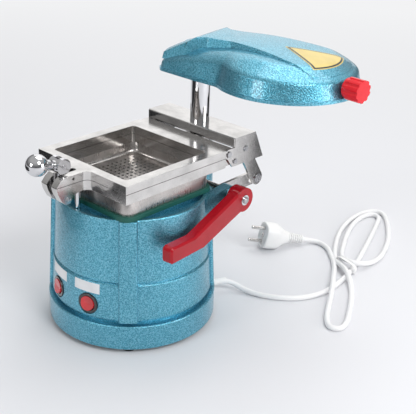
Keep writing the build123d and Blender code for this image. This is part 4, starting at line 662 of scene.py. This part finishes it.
# ---------------------------------------------------------------- sub-assemblies
@dataclass
class MainsCord:
    """The mains cord: gland, cord with its tied hank, and earthed plug; sizes in millimetres."""

    diameter: float = 6.5
    gland_azimuth: float = 66.0
    gland_height: float = 14.0
    skirt_r: float = 96.7
    plug_from: Triple = (48.6, 294.8, 4.4)
    pin_out: float = 9.5
    tie_at: Triple = (124.0, 266.0, 6.6)
    # (x, y) where the cord lies on the bench, (x, y, z) where it stands off it
    bench_z: float = 3.35
    route: Sequence[Sequence[float]] = (
        (43.5, 97.7, 14.0), (48.9, 109.8, 14.0), (58.0, 117.6, 10.0), (70.0, 121.8, 5.2), (85.0, 126.0),
        (102.0, 134.0), (117.8, 145.0), (130.0, 159.0), (138.6, 175.6), (143.0, 195.0), (142.5, 215.0),
        (140.0, 235.0), (137.0, 253.0), (132.0, 271.0), (126.0, 290.0), (115.0, 320.0), (102.0, 355.0),
        (89.0, 388.0), (79.0, 412.0), (71.0, 430.0), (60.0, 434.0), (52.5, 424.0), (52.0, 402.0),
        (59.5, 372.0), (72.0, 342.0), (87.0, 313.0), (98.0, 293.0, 3.8), (108.0, 279.0, 7.0),
        (119.0, 272.0, 9.9), (131.0, 273.0, 9.9), (139.5, 284.0, 7.5), (142.0, 302.0, 3.8),
        (141.0, 322.0), (134.0, 345.0), (121.0, 375.0), (102.0, 406.0), (80.0, 435.0), (66.0, 447.0),
        (53.0, 445.0), (45.5, 431.0), (43.5, 408.0), (46.5, 384.0), (54.0, 356.0), (66.0, 329.0),
        (80.0, 304.0), (93.0, 284.0), (106.0, 269.0, 3.8), (119.0, 260.0, 7.5), (133.0, 251.0, 9.9),
        (146.0, 240.5, 7.5), (160.0, 226.0, 3.8), (174.0, 206.0), (190.0, 178.0), (203.0, 153.0),
        (205.0, 136.0), (192.0, 131.0), (178.0, 147.0), (163.0, 174.0, 3.8), (151.0, 196.0, 8.0),
        (139.0, 215.0, 9.9), (128.0, 232.0, 8.0), (117.0, 250.0, 3.8), (105.5, 265.0), (91.5, 278.5),
        (77.5, 291.5), (62.5, 298.0), (49.0, 294.8, 4.4), (40.8, 281.6, 7.9),
    )

    def point(self, index: int) -> Vector:
        """One point of the cord's route, in metres."""
        return mm(*(*self.route[index], self.bench_z)[:3])

    def plug_stand(self) -> Matrix:
        """Matrix at the cord's end, local Z towards the plug's face."""
        end = self.point(-1)
        return stand(end, end - mm(*self.plug_from))

    def lay_cord(self, shop: Workshop) -> Piece:
        """Make the cord as one smooth curve and return it."""
        curve = bpy.data.curves.new("mains_cord", "CURVE")
        curve.dimensions = "3D"
        curve.bevel_depth = self.diameter / 2 * MM
        curve.bevel_resolution = 5
        curve.resolution_u = 8
        curve.use_fill_caps = True
        spline = curve.splines.new("NURBS")
        spline.points.add(len(self.route) - 1)
        for index, point in enumerate(spline.points):
            point.co = (*self.point(index), 1.0)
        spline.order_u = 3
        spline.use_endpoint_u = True
        cord = placed("mains_cord", curve)
        curve.materials.append(shop.material(shop.finishes.cord))
        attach(cord, "base")
        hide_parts("power_cord", "plug_cord", "cord_hank")
        return cord

    def length(self, cord: Piece) -> float:
        """Measure the smooth line of the cord, in metres."""
        bare = cord.data.copy()
        bare.bevel_depth = 0.0
        holder = bpy.data.objects.new("cord_line", bare)
        line = bpy.data.meshes.new_from_object(holder)
        total = sum((line.vertices[edge.vertices[0]].co - line.vertices[edge.vertices[1]].co).length
                    for edge in line.edges)
        bpy.data.objects.remove(holder)
        bpy.data.curves.remove(bare)
        bpy.data.meshes.remove(line)
        return total

    def make_plug(self, shop: Workshop) -> Piece:
        """Make the plug's body with its ribbed strain relief."""
        at = self.plug_stand()
        rib = [(0.0, 0.0), (0.3, 0.4), (0.3, 1.6), (0.0, 2.0), (-1.6, 2.1), (-1.6, 3.3)]
        sleeve = lathe([(0.0, 0.0), (4.0, 0.0), (4.4, 0.8), *ribs(7, (5.4, 2.0), (0.3, 3.4), rib),
                        (7.6, 26.4), (8.2, 27.4), (0.0, 27.4)], at, 40)
        body = loft([
            (24.5, 6.5, 6.5, 2.0), (25.5, 8.4, 8.4, 2.0), (30.0, 9.2, 9.4, 2.1), (34.0, 11.0, 11.6, 2.3),
            (38.0, 13.4, 14.6, 2.5), (42.0, 15.0, 16.6, 2.7), (46.0, 15.4, 17.3, 2.8),
            (55.0, 15.5, 17.5, 2.8), (60.0, 15.5, 17.5, 2.8), (61.4, 15.0, 17.0, 2.8),
            (62.0, 14.0, 16.0, 2.8), (62.0, 11.6, 13.6, 2.8), (61.2, 11.2, 13.2, 2.8), (61.2, 1.0, 1.0, 2.0),
        ], at)
        return shop.finish_piece(joined(sleeve, body), "plug_shell", shop.finishes.white, "base",
                                 stands_for="plug_body")

    def make_pins(self, shop: Workshop) -> Piece:
        """Make the two round pins with rounded ends."""
        profile = [(0.0, 51.0), (2.4, 51.0), (2.4, 79.4), (2.2, 80.4), (1.6, 80.9), (0.0, 81.0)]
        pins = [lathe(profile, self.plug_stand() @ Matrix.Translation(mm(0.0, self.pin_out * side, 0.0)), 24)
                for side in (-1.0, 1.0)]
        return shop.finish_piece(joined(*pins), "plug_contacts", shop.finishes.nickel, "base",
                                 stands_for="plug_pins")

    def make_earth_clip(self, shop: Workshop) -> Piece:
        """Make the bare earth socket in the plug's face."""
        profile = [(0.0, 61.25), (1.6, 61.25), (1.7, 61.9), (3.0, 61.9), (3.1, 61.2), (0.0, 61.2)]
        return shop.finish_piece(lathe(profile, self.plug_stand(), 24), "plug_earth_socket",
                                 shop.finishes.nickel, "base")

    def make_tie(self, shop: Workshop) -> Piece:
        """Make the flat tie round the waist of the hank."""
        at = stand(mm(*self.tie_at), Vector((0.27, 1.0, 0.0)))
        outer = loft([(-2.0, 18.2, 6.55, 4.0), (-1.7, 18.4, 6.65, 4.0), (1.7, 18.4, 6.65, 4.0),
                      (2.0, 18.2, 6.55, 4.0)], at, 64)
        caps = [face for face in outer.faces if len(face.verts) > 8]
        bmesh.ops.inset_region(outer, faces=caps, thickness=0.7 * MM, use_even_offset=True)
        inner = [face for face in outer.faces if len(face.verts) > 8]
        loops = [list(face.edges) for face in inner]
        bmesh.ops.delete(outer, geom=inner, context="FACES_ONLY")
        bmesh.ops.bridge_loops(outer, edges=loops[0] + loops[1])
        return shop.finish_piece(outer, "hank_band", shop.finishes.white, "base", stands_for="hank_tie")

    def make_gland(self, shop: Workshop) -> None:
        """Make the tapered strain relief where the cord leaves the skirt."""
        azimuth = math.radians(self.gland_azimuth)
        outward = Vector((math.cos(azimuth), math.sin(azimuth), 0.0))
        at = stand(outward * self.skirt_r * MM + mm(0, 0, self.gland_height), outward)
        rib = [(0.0, 0.0), (0.0, 1.0), (-0.7, 1.2), (-0.7, 1.6)]
        profile = [(0.0, -7.0), (4.4, -7.0), (4.4, 0.6), (6.0, 0.7), (6.2, 1.2), (6.2, 2.2), (5.9, 2.7),
                   *ribs(6, (5.3, 3.0), (-0.22, 1.75), rib), (3.6, 13.6), (3.5, 24.0), (3.3, 25.0),
                   (0.0, 25.0)]
        shop.finish_piece(lathe(profile, at, 36), "cord_sleeve", shop.finishes.white, "base",
                          stands_for="cord_gland")

    def build(self, shop: Workshop) -> None:
        cord = self.lay_cord(shop)
        plug = self.make_plug(shop)
        pins = self.make_pins(shop)
        earth = self.make_earth_clip(shop)
        tie = self.make_tie(shop)
        self.make_gland(shop)
        length = self.length(cord)
        LOG.info("cord length %.4f m", length)


@dataclass
class SuctionTray:
    """The pressed stainless tray with its finely perforated floor; sizes in millimetres."""

    centre_y: float = -2.0
    half: float = 62.5
    wall: float = 1.5
    low: float = 161.3
    top: float = 180.3
    floor: float = 167.6
    hole_half: float = 50.0
    hole_count: int = 15
    hole_r: float = 1.65

    def perforated_floor(self) -> Shape:
        """Make the floor panel out of one drilled cell, repeated."""
        pitch = 2.0 * self.hole_half / self.hole_count
        shape = bmesh.new()
        bmesh.ops.create_grid(shape, x_segments=self.hole_count, y_segments=self.hole_count,
                              size=self.hole_half * MM,
                              matrix=Matrix.Translation(mm(0.0, self.centre_y, self.floor)))
        cells = list(shape.faces)
        bmesh.ops.inset_individual(shape, faces=cells, thickness=(pitch / 2 - self.hole_r) * MM)
        for face in cells:
            bmesh.ops.bisect_edges(shape, edges=list(face.edges), cuts=1)
            centre = face.calc_center_median()
            for vert in face.verts:
                away = vert.co - centre
                vert.co = centre + away.normalized() * self.hole_r * MM
        sunk = bmesh.ops.extrude_discrete_faces(shape, faces=cells)["faces"]
        for face in sunk:
            bmesh.ops.translate(shape, verts=face.verts, vec=mm(0.0, 0.0, -self.wall))
        bmesh.ops.delete(shape, geom=sunk, context="FACES")
        return shape

    def shell(self) -> Shape:
        """Make the tray's drawn wall and rim round the perforated panel."""
        inner = self.half - self.wall
        rows = [(self.low, self.half, 14.0), (self.top - 0.5, self.half, 14.0),
                (self.top - 0.15, self.half - 0.15, 14.0), (self.top, self.half - 0.5, 14.0),
                (self.top, inner + 0.5, 14.0), (self.top - 0.15, inner + 0.15, 14.0),
                (self.top - 0.5, inner, 14.0), (self.floor + 5.0, inner, 12.0),
                (self.floor + 3.0, inner - 0.5, 12.0), (self.floor + 1.4, inner - 1.6, 13.0),
                (self.floor + 0.4, inner - 3.2, 14.0), (self.floor, inner - 5.2, 16.0)]
        return loft([(height, half, half, power) for height, half, power in rows],
                    Matrix.Translation(mm(0.0, self.centre_y, 0.0)), 96, capped=False)

    def apron(self) -> Shape:
        """Make the plain margin of the floor between the holes and the drawn round."""
        outer = self.half - self.wall - 5.0
        shape = bmesh.new()
        at = Matrix.Translation(mm(0.0, self.centre_y, self.floor))
        bmesh.ops.create_grid(shape, x_segments=1, y_segments=1, size=outer * MM, matrix=at)
        sheet = list(shape.faces)
        bmesh.ops.inset_region(shape, faces=sheet, thickness=(outer - self.hole_half) * MM,
                               use_boundary=True, use_even_offset=True)
        bmesh.ops.delete(shape, geom=sheet, context="FACES")
        return shape

    def build(self, shop: Workshop) -> None:
        """Build the tray in place of its solid."""
        shape = joined(self.shell(), self.perforated_floor(), self.apron())
        bmesh.ops.remove_doubles(shape, verts=shape.verts, dist=WELD)
        shop.finish_piece(shape, "suction_tray", shop.finishes.tray, "base", recalc=False,
                          stands_for="forming_tray")


@dataclass
class HeadPlan:
    """Where the head lies in plan; sizes in millimetres."""

    column_y: float = 107.0
    turn_deg: float = 11.0
    disc_reach: float = 110.0

    def spot(self, along: float, across: float) -> Pair:
        """Plan position of a point given along and across the head."""
        turn = math.radians(self.turn_deg)
        return (along * math.cos(turn) - across * math.sin(turn),
                self.column_y + along * math.sin(turn) + across * math.cos(turn))

    def local(self, spot: Vector) -> Pair:
        """Distance along and across the head of a point in metres."""
        turn = math.radians(self.turn_deg)
        x, y = spot.x / MM, spot.y / MM - self.column_y
        return (x * math.cos(turn) + y * math.sin(turn), -x * math.sin(turn) + y * math.cos(turn))


@dataclass
class BarePlates:
    """The bare plates on the casting and on the head; sizes in millimetres."""

    plate_low: float = 68.0
    plate_top: float = 80.0
    plate_from: float = 4.5
    plate_to: float = 25.0
    wall_low: Pair = (92.3, 38.5)
    wall_top: Pair = (85.6, 156.0)
    fan_radius: float = 57.5
    fan_sweep_deg: Pair = (-38.0, 30.0)
    fan_tip: Pair = (105.0, -2.0)
    # how far the switch plates stand off the wall, their thickness, and that of the head's foil
    stand_off: float = 0.12
    plate_thick: float = 0.3
    foil_thick: float = 0.12
    # the fan's blunt tip, and how much faster its sides draw in than its rim
    blunt: float = 0.02
    side_ease: float = 1.15
    above_head: float = 400.0

    def wall_radius(self, z: float) -> float:
        """Outer radius of the casting's wall at a height."""
        (low_r, low_z), (top_r, top_z) = self.wall_low, self.wall_top
        return low_r + (top_r - low_r) * (z - low_z) / (top_z - low_z)

    def switch_plate(self, side: float) -> Shape:
        """Make one thin curved plate above a switch."""
        shape = bmesh.new()
        bmesh.ops.create_grid(shape, x_segments=16, y_segments=4, size=0.5)
        for vert in shape.verts:
            azimuth = self.plate_from + (vert.co.x + 0.5) * (self.plate_to - self.plate_from)
            height = self.plate_low + (vert.co.y + 0.5) * (self.plate_top - self.plate_low)
            angle = math.radians(-90.0 + side * azimuth)
            radius = self.wall_radius(height) + self.stand_off
            vert.co = mm(radius * math.cos(angle), radius * math.sin(angle), height)
        bmesh.ops.recalc_face_normals(shape, faces=shape.faces)
        if shape.faces[:][0].normal.y > 0:
            bmesh.ops.reverse_faces(shape, faces=shape.faces)
        bmesh.ops.solidify(shape, geom=shape.faces, thickness=self.plate_thick * MM)
        return shape

    def fan(self, plan: HeadPlan, skin: BVHTree, inset: float, rise: float) -> Shape:
        """Drape one layer of the fan-shaped plate over the head.

        Args:
            plan: where the head lies.
            skin: the head casting's surface.
            inset: how far the layer stays inside the plate's edge.
            rise: how far its face stands off the casting.

        Returns:
            The closed layer.
        """
        shape = bmesh.new()
        bmesh.ops.create_grid(shape, x_segments=26, y_segments=22, size=0.5)
        radius = self.fan_radius - inset
        slip = inset / radius * self.side_ease
        low, high = (math.radians(angle) for angle in self.fan_sweep_deg)
        tip = Vector(self.fan_tip) + Vector((inset * 2.0, 0.0))
        for vert in shape.verts:
            angle = low + slip + (vert.co.x + 0.5) * (high - low - 2.0 * slip)
            rim = Vector((plan.disc_reach + radius * math.cos(angle), radius * math.sin(angle)))
            spot = tip.lerp(rim, self.blunt + (1.0 - self.blunt) * (vert.co.y + 0.5))
            x, y = plan.spot(spot.x, spot.y)
            hit = skin.ray_cast(mm(x, y, self.above_head), Vector((0.0, 0.0, -1.0)))
            vert.co = hit[0] + hit[1] * rise * MM
        if sum(face.normal.z for face in shape.faces) < 0.0:
            bmesh.ops.reverse_faces(shape, faces=shape.faces)
        bmesh.ops.solidify(shape, geom=shape.faces, thickness=self.foil_thick * MM)
        return shape

    def build(self, shop: Workshop) -> None:
        """Build the two switch plates and the fan-shaped plate on the head."""
        casting = bpy.data.objects["head_casting"].data
        skin = BVHTree.FromPolygons([vert.co for vert in casting.vertices],
                                    [tuple(face.vertices) for face in casting.polygons])
        yellow, border = shop.finishes.plate_yellow, shop.finishes.plate_border
        for name, finish, inset, rise in (("edge", yellow, 0.0, 0.16), ("line", border, 1.0, 0.26),
                                          ("field", yellow, 2.9, 0.36)):
            shop.finish_piece(self.fan(HeadPlan(), skin, inset, rise), f"head_plate_{name}", finish, "head")
        for side, name in ((-1.0, "left"), (1.0, "right")):
            shop.finish_piece(self.switch_plate(side), f"switch_plate_{name}", shop.finishes.plate_white,
                              "base")


@dataclass
class HeadCasting:
    """The heater head's casting, domed down to a soft rim; sizes in millimetres."""

    plan: HeadPlan
    lip: float = 280.5
    disc_r: float = 80.0
    tail_back: float = 30.0
    tail_half: float = 45.0
    neck_reach: float = 25.0
    neck_half: float = 56.0
    neck_end: float = 62.0
    # shares of height lost over the body, over the front and at the rim, and where each loss runs
    body_drop: float = 0.15
    front_drop: float = 0.10
    rim_drop: float = 0.22
    body_from: float = -25.0
    body_to: float = 45.0
    front_to: float = 190.0
    rim_from: float = 0.60
    crease_deg: float = 22.0
    grain: float = 4.5
    edge: float = 1.6

    def half_width(self, along: float) -> float:
        """Half of the head's width at a distance along it."""
        if along > self.plan.disc_reach:
            return self.disc_r
        flare = (self.neck_half - self.tail_half) / (self.neck_reach + self.tail_back)
        straight = self.tail_half + (along + self.tail_back) * flare
        reach = self.disc_r ** 2 - (along - self.plan.disc_reach) ** 2
        return max(straight if along < self.neck_end else 0.0, math.sqrt(reach) if reach > 0.0 else 0.0, 1.0)

    def share(self, spot: Vector) -> float:
        """Share of its height over the lip that a point of the casting keeps."""
        along, across = self.plan.local(spot)
        if along > self.plan.disc_reach:
            edge = math.hypot(along - self.plan.disc_reach, across) / self.disc_r
        else:
            edge = abs(across) / self.half_width(along)
        return (1.0 - self.body_drop * smooth(along, self.body_from, self.body_to)
                - self.front_drop * smooth(along, self.body_to, self.front_to)
                - self.rim_drop * smooth(edge, self.rim_from, 1.0))

    def build(self, shop: Workshop, frame: dict) -> None:
        """Build the casting from a refined copy of its solid."""
        shape = copied(frame, "head_shell")
        sharp = [edge for edge in shape.edges if turns_by(edge, self.crease_deg) and edge.is_convex
                 and min(vert.co.z for vert in edge.verts) > (self.lip + 1.0) * MM]
        round_edges(shape, sharp, self.edge, 3)
        bmesh.ops.triangulate(shape, faces=shape.faces)
        for _ in range(5):
            long_edges = [edge for edge in shape.edges if edge.calc_length() > self.grain * MM]
            if not long_edges:
                break
            bmesh.ops.subdivide_edges(shape, edges=long_edges, cuts=1)
            bmesh.ops.triangulate(shape, faces=[face for face in shape.faces if len(face.verts) > 3])
        for vert in shape.verts:
            above = vert.co.z - self.lip * MM
            if above > 0.0:
                vert.co.z = self.lip * MM + above * self.share(vert.co)
        shop.finish_piece(shape, "head_casting", shop.finishes.casting, "head", sharp_deg=38.0, recalc=False,
                          stands_for="head_shell")


@dataclass
class BracketFlange:
    """Turned-down front lip of the folded bracket; sizes in millimetres."""

    half: float = 69.2
    front: float = 90.3
    thick: float = 1.6
    low: float = 200.2
    top: float = 211.45
    bend: float = 1.4
    hem: float = 0.4
    tuck: float = 3.0

    def build(self, shop: Workshop) -> None:
        """Build the lip as a folded strip with a rounded bend and hemmed lower edge."""
        line = [(self.front, self.low + self.hem), (self.front, self.top - self.bend)]
        for step in range(1, 7):
            turn = math.radians(15 * step)
            line.append((self.front + self.bend * (1 - math.cos(turn)),
                         self.top - self.bend + self.bend * math.sin(turn)))
        line += [(self.front + self.tuck, self.top), (self.front + self.tuck, self.top - 1.2),
                 (self.front + self.thick, self.top - 1.9), (self.front + self.thick, self.low + self.hem),
                 (self.front + self.thick - self.hem, self.low), (self.front + self.hem, self.low)]
        shape = bmesh.new()
        verts = [shape.verts.new(mm(-self.half, y, z)) for y, z in line]
        face = shape.faces.new(verts)
        moved = bmesh.ops.extrude_face_region(shape, geom=[face])
        side = [item for item in moved["geom"] if isinstance(item, bmesh.types.BMVert)]
        bmesh.ops.translate(shape, verts=side, vec=mm(2 * self.half, 0.0, 0.0))
        shop.finish_piece(shape, "bracket_front_lip", shop.finishes.nickel, "carriage")


@dataclass
class Machine:
    """The frame's own nodes with their finishes, rounded where edges catch light."""

    frame: dict

    def softened_nodes(self, finishes: FinishSet) -> list[tuple[str, Finish, str, float, int]]:
        """List the nodes that get rounded edges: node, finish, body, width in mm, steps."""
        return [
            ("base_shell", finishes.casting, "base", 0.5, 2),
            ("table_gasket", finishes.gasket, "base", 0.6, 2),
            ("lower_frame", finishes.nickel, "carriage", 0.5, 2),
            ("upper_frame", finishes.nickel, "upper_frame", 0.5, 2),
            ("carriage_bracket", finishes.nickel, "carriage", 0.4, 2),
            ("carriage_sleeve", finishes.nickel, "carriage", 0.5, 2),
            ("lift_lever", finishes.red_lever, "lever", 0.9, 3),
            ("crank_arms", finishes.nickel, "lever", 0.4, 2),
            ("link_left", finishes.nickel, "links", 0.4, 2),
            ("link_right", finishes.nickel, "links", 0.4, 2),
            ("latch_cam_lever", finishes.chrome, "latch_lever", 0.4, 2),
            ("latch_eye_bolt", finishes.zinc, "latch_bolt", 0.3, 2),
            ("grip_knob", finishes.red_knob, "head", 0.8, 3),
            ("rocker_left", finishes.lens, "rocker_left", 0.7, 3),
            ("rocker_right", finishes.lens, "rocker_right", 0.7, 3),
            ("rubber_feet", finishes.rubber, "base", 0.8, 3),
        ]

    def build(self, shop: Workshop) -> None:
        """Dress every node of the frame."""
        done = shop.finishes
        for node, finish, body, width, steps in self.softened_nodes(done):
            shop.softened(self.frame, node, finish, body, width, steps)
        plain: list[tuple[Finish, tuple[str, ...]]] = [
            (done.black_paint, ("base_plate", "head_cover")),
            (done.zinc, ("foot_screws", "base_plate_screws", "column_set_screw", "lever_screw",
                         "crank_pins", "hinge_pivot_screws", "frame_fixing_screws", "link_rivets",
                         "latch_pivot_pin", "latch_cam_pin", "head_cover_screws", "grip_stud", "motor_shaft",
                         "blower_casing")),
            (done.rubber, ("intake_seal", "motor_isolator")),
            (done.motor_paint, ("vacuum_motor",)),
            (done.chrome, ("column", "front_rest_pin", "head_stop_ring", "ball_knob", "lever_washer")),
            (done.bronze, ("shaft_bushes",)),
            (done.bezel, ("switch_bezel_left", "switch_bezel_right")),
            (done.nickel, ("lever_shaft", "shaft_spacers")),
            (done.tray, ("heater_reflector",)),
            (done.ribbon, ("heater_element",)),
            (done.ceramic, ("element_carrier", "terminal_block")),
            (done.fan, ("blower_impeller",)),
        ]
        for finish, nodes in plain:
            shop.dress(self.frame, finish, *nodes)


@dataclass
class Studio:
    """Pale floor, soft lamps and the camera; sizes in metres."""

    camera_at: Triple = (0.638204, -0.578184, 0.533718)
    camera_turn_deg: Triple = (65.078195, -1.998879, 43.050238)
    lens_mm: float = 72.4491
    floor_half: float = 7.0
    floor_colour: Rgb = (0.75, 0.755, 0.78)
    horizon: Rgb = (0.89, 0.895, 0.905)
    fade_from: float = 0.55
    fade_to: float = 1.9
    card_lift: float = 0.002
    card_width: float = 0.5

    def camera(self) -> None:
        """Make the camera and make it the scene's."""
        data = bpy.data.cameras.new("studio_camera")
        data.lens = self.lens_mm
        data.sensor_width = 36.0
        data.sensor_fit = "HORIZONTAL"
        data.clip_end = 60.0
        camera = placed("studio_camera", data)
        camera.location = self.camera_at
        camera.rotation_euler = [math.radians(angle) for angle in self.camera_turn_deg]
        bpy.context.scene.camera = camera

    def lamp(self, name: str, at: Triple, aim: Triple, size: float, watts: float) -> None:
        """Hang one square soft lamp.

        Args:
            name: the lamp's name.
            at: where it hangs.
            aim: the point that it faces.
            size: its side.
            watts: its power.
        """
        data = bpy.data.lights.new(name, "AREA")
        data.shape = "SQUARE"
        data.size = size
        data.energy = watts
        lamp = placed(name, data)
        lamp.location = at
        lamp.rotation_euler = (Vector(at) - Vector(aim)).to_track_quat("Z", "Y").to_euler()

    def sheet(self, name: str, size: float, colour: Rgb) -> Piece:
        """Make one flat sheet of the studio, with a matt material of its own."""
        shape = bmesh.new()
        bmesh.ops.create_grid(shape, x_segments=2, y_segments=2, size=size)
        sheet = meshed(name, shape)
        material = bpy.data.materials.new(name.replace("_", " "))
        material.use_nodes = True
        shader = material.node_tree.nodes["Principled BSDF"]
        fill(material.node_tree, shader, Base_Color=colour, Roughness=0.9)
        sheet.data.materials.append(material)
        return sheet

    def dark_card(self, name: str, at: Pair, facing_deg: float, height: float) -> None:
        """Stand one dark card outside the view, which gives polished metal its dark streaks.

        Args:
            name: the card's name.
            at: its place on the floor.
            facing_deg: the plan direction along the card.
            height: its height.
        """
        along = Vector((math.cos(math.radians(facing_deg)), math.sin(math.radians(facing_deg)), 0.0))
        card = self.sheet(name, 0.5, (0.02, 0.02, 0.022))
        for vert in card.data.vertices:
            rise = self.card_lift + (vert.co.y + 0.5) * height
            vert.co = Vector((*at, rise)) + along * vert.co.x * self.card_width
        card.visible_camera = card.visible_diffuse = card.visible_shadow = False

    def floor(self) -> None:
        """Lay the pale floor, which fades into the colour of the horizon."""
        material = self.sheet("studio_floor", self.floor_half, self.floor_colour).data.materials[0]
        tree = material.node_tree
        shader = tree.nodes["Principled BSDF"]
        fill(tree, shader, Specular_IOR_Level=0.1)
        place = tree.nodes.new("ShaderNodeTexCoord").outputs["Object"]
        far = spread(tree, vector_node(tree, "LENGTH", place, out="Value"), self.fade_from, self.fade_to)
        pale = tree.nodes.new("ShaderNodeEmission")
        fill(tree, pale, Color=self.horizon)
        self.by_camera_ray(tree, shader, pale, tree.nodes["Material Output"], far)

    @staticmethod
    def by_camera_ray(tree: Tree, plain: Node, seen: Node, output: Node, share: object) -> None:
        """Show one shader to the camera and keep another for the light in the room.

        Args:
            tree: the node tree of both.
            plain: the shader that lights the room.
            seen: the shader that the camera sees.
            output: the output node that takes the mix.
            share: how much of the second one the camera sees.
        """
        ray = tree.nodes.new("ShaderNodeLightPath").outputs["Is Camera Ray"]
        mix = tree.nodes.new("ShaderNodeMixShader")
        parts = (math_node(tree, "MULTIPLY", ray, share), plain.outputs[0], seen.outputs[0])
        for index, part in enumerate(parts):
            feed(tree, part, mix.inputs[index])
        fill(tree, output, Surface=mix.outputs[0])

    def world(self) -> None:
        """Light the room evenly, a little darker near the horizon."""
        world = bpy.data.worlds.new("studio world")
        bpy.context.scene.world = world
        world.use_nodes = True
        tree = world.node_tree
        background = tree.nodes["Background"]
        place = tree.nodes.new("ShaderNodeTexCoord").outputs["Generated"]
        split = tree.nodes.new("ShaderNodeSeparateXYZ")
        tree.links.new(place, split.inputs[0])
        height = spread(tree, split.outputs["Z"], 0.05, 0.7)
        tone = blend_colour(tree, height, (0.20, 0.20, 0.21), (1.0, 1.0, 1.0))
        fill(tree, background, Color=tone, Strength=0.52)
        pale = tree.nodes.new("ShaderNodeBackground")
        fill(tree, pale, Color=self.horizon)
        self.by_camera_ray(tree, background, pale, tree.nodes["World Output"], 1.0)

    def build(self) -> None:
        """Build the studio."""
        self.camera()
        self.floor()
        self.world()
        self.dark_card("dark_card_left", (-0.32, -0.22), 137.0, 0.16)
        self.dark_card("dark_card_right", (0.14, 0.57), 119.4, 0.12)
        self.lamp("key_lamp", (1.35, -0.20, 1.45), (0.0, 0.1, 0.2), 0.65, 13.0)
        self.lamp("side_lamp", (1.25, 0.42, 0.42), (0.0, 0.0, 0.15), 0.55, 5.0)
        self.lamp("fill_lamp", (-0.15, -1.8, 0.75), (0.0, 0.05, 0.12), 0.6, 8.0)
        self.lamp("top_lamp", (-0.1, 0.8, 2.1), (-0.05, 0.3, 0.1), 1.5, 16.0)
        self.lamp("back_lamp", (-1.25, 1.5, 1.1), (0.0, 0.1, 0.2), 1.9, 10.0)
        scene = bpy.context.scene
        scene.view_settings.view_transform = "Standard"


def main() -> None:
    """Load the frame, build each sub-assembly in order, and report it."""
    logging.basicConfig(level=logging.INFO, format="%(message)s")
    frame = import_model()
    shop = Workshop(FinishSet())
    stages: list[tuple[str, Callable[[], None]]] = [
        ("studio", Studio().build),
        ("mains cord", lambda: MainsCord().build(shop)),
        ("machine", lambda: Machine(frame).build(shop)),
        ("head casting", lambda: HeadCasting(HeadPlan()).build(shop, frame)),
        ("bracket lip", lambda: BracketFlange().build(shop)),
        ("suction tray", lambda: SuctionTray().build(shop)),
        ("bare plates", lambda: BarePlates().build(shop)),
    ]
    for name, build in stages:
        build()
        LOG.info("built: %s", name)


if __name__ == "__main__":
    main()
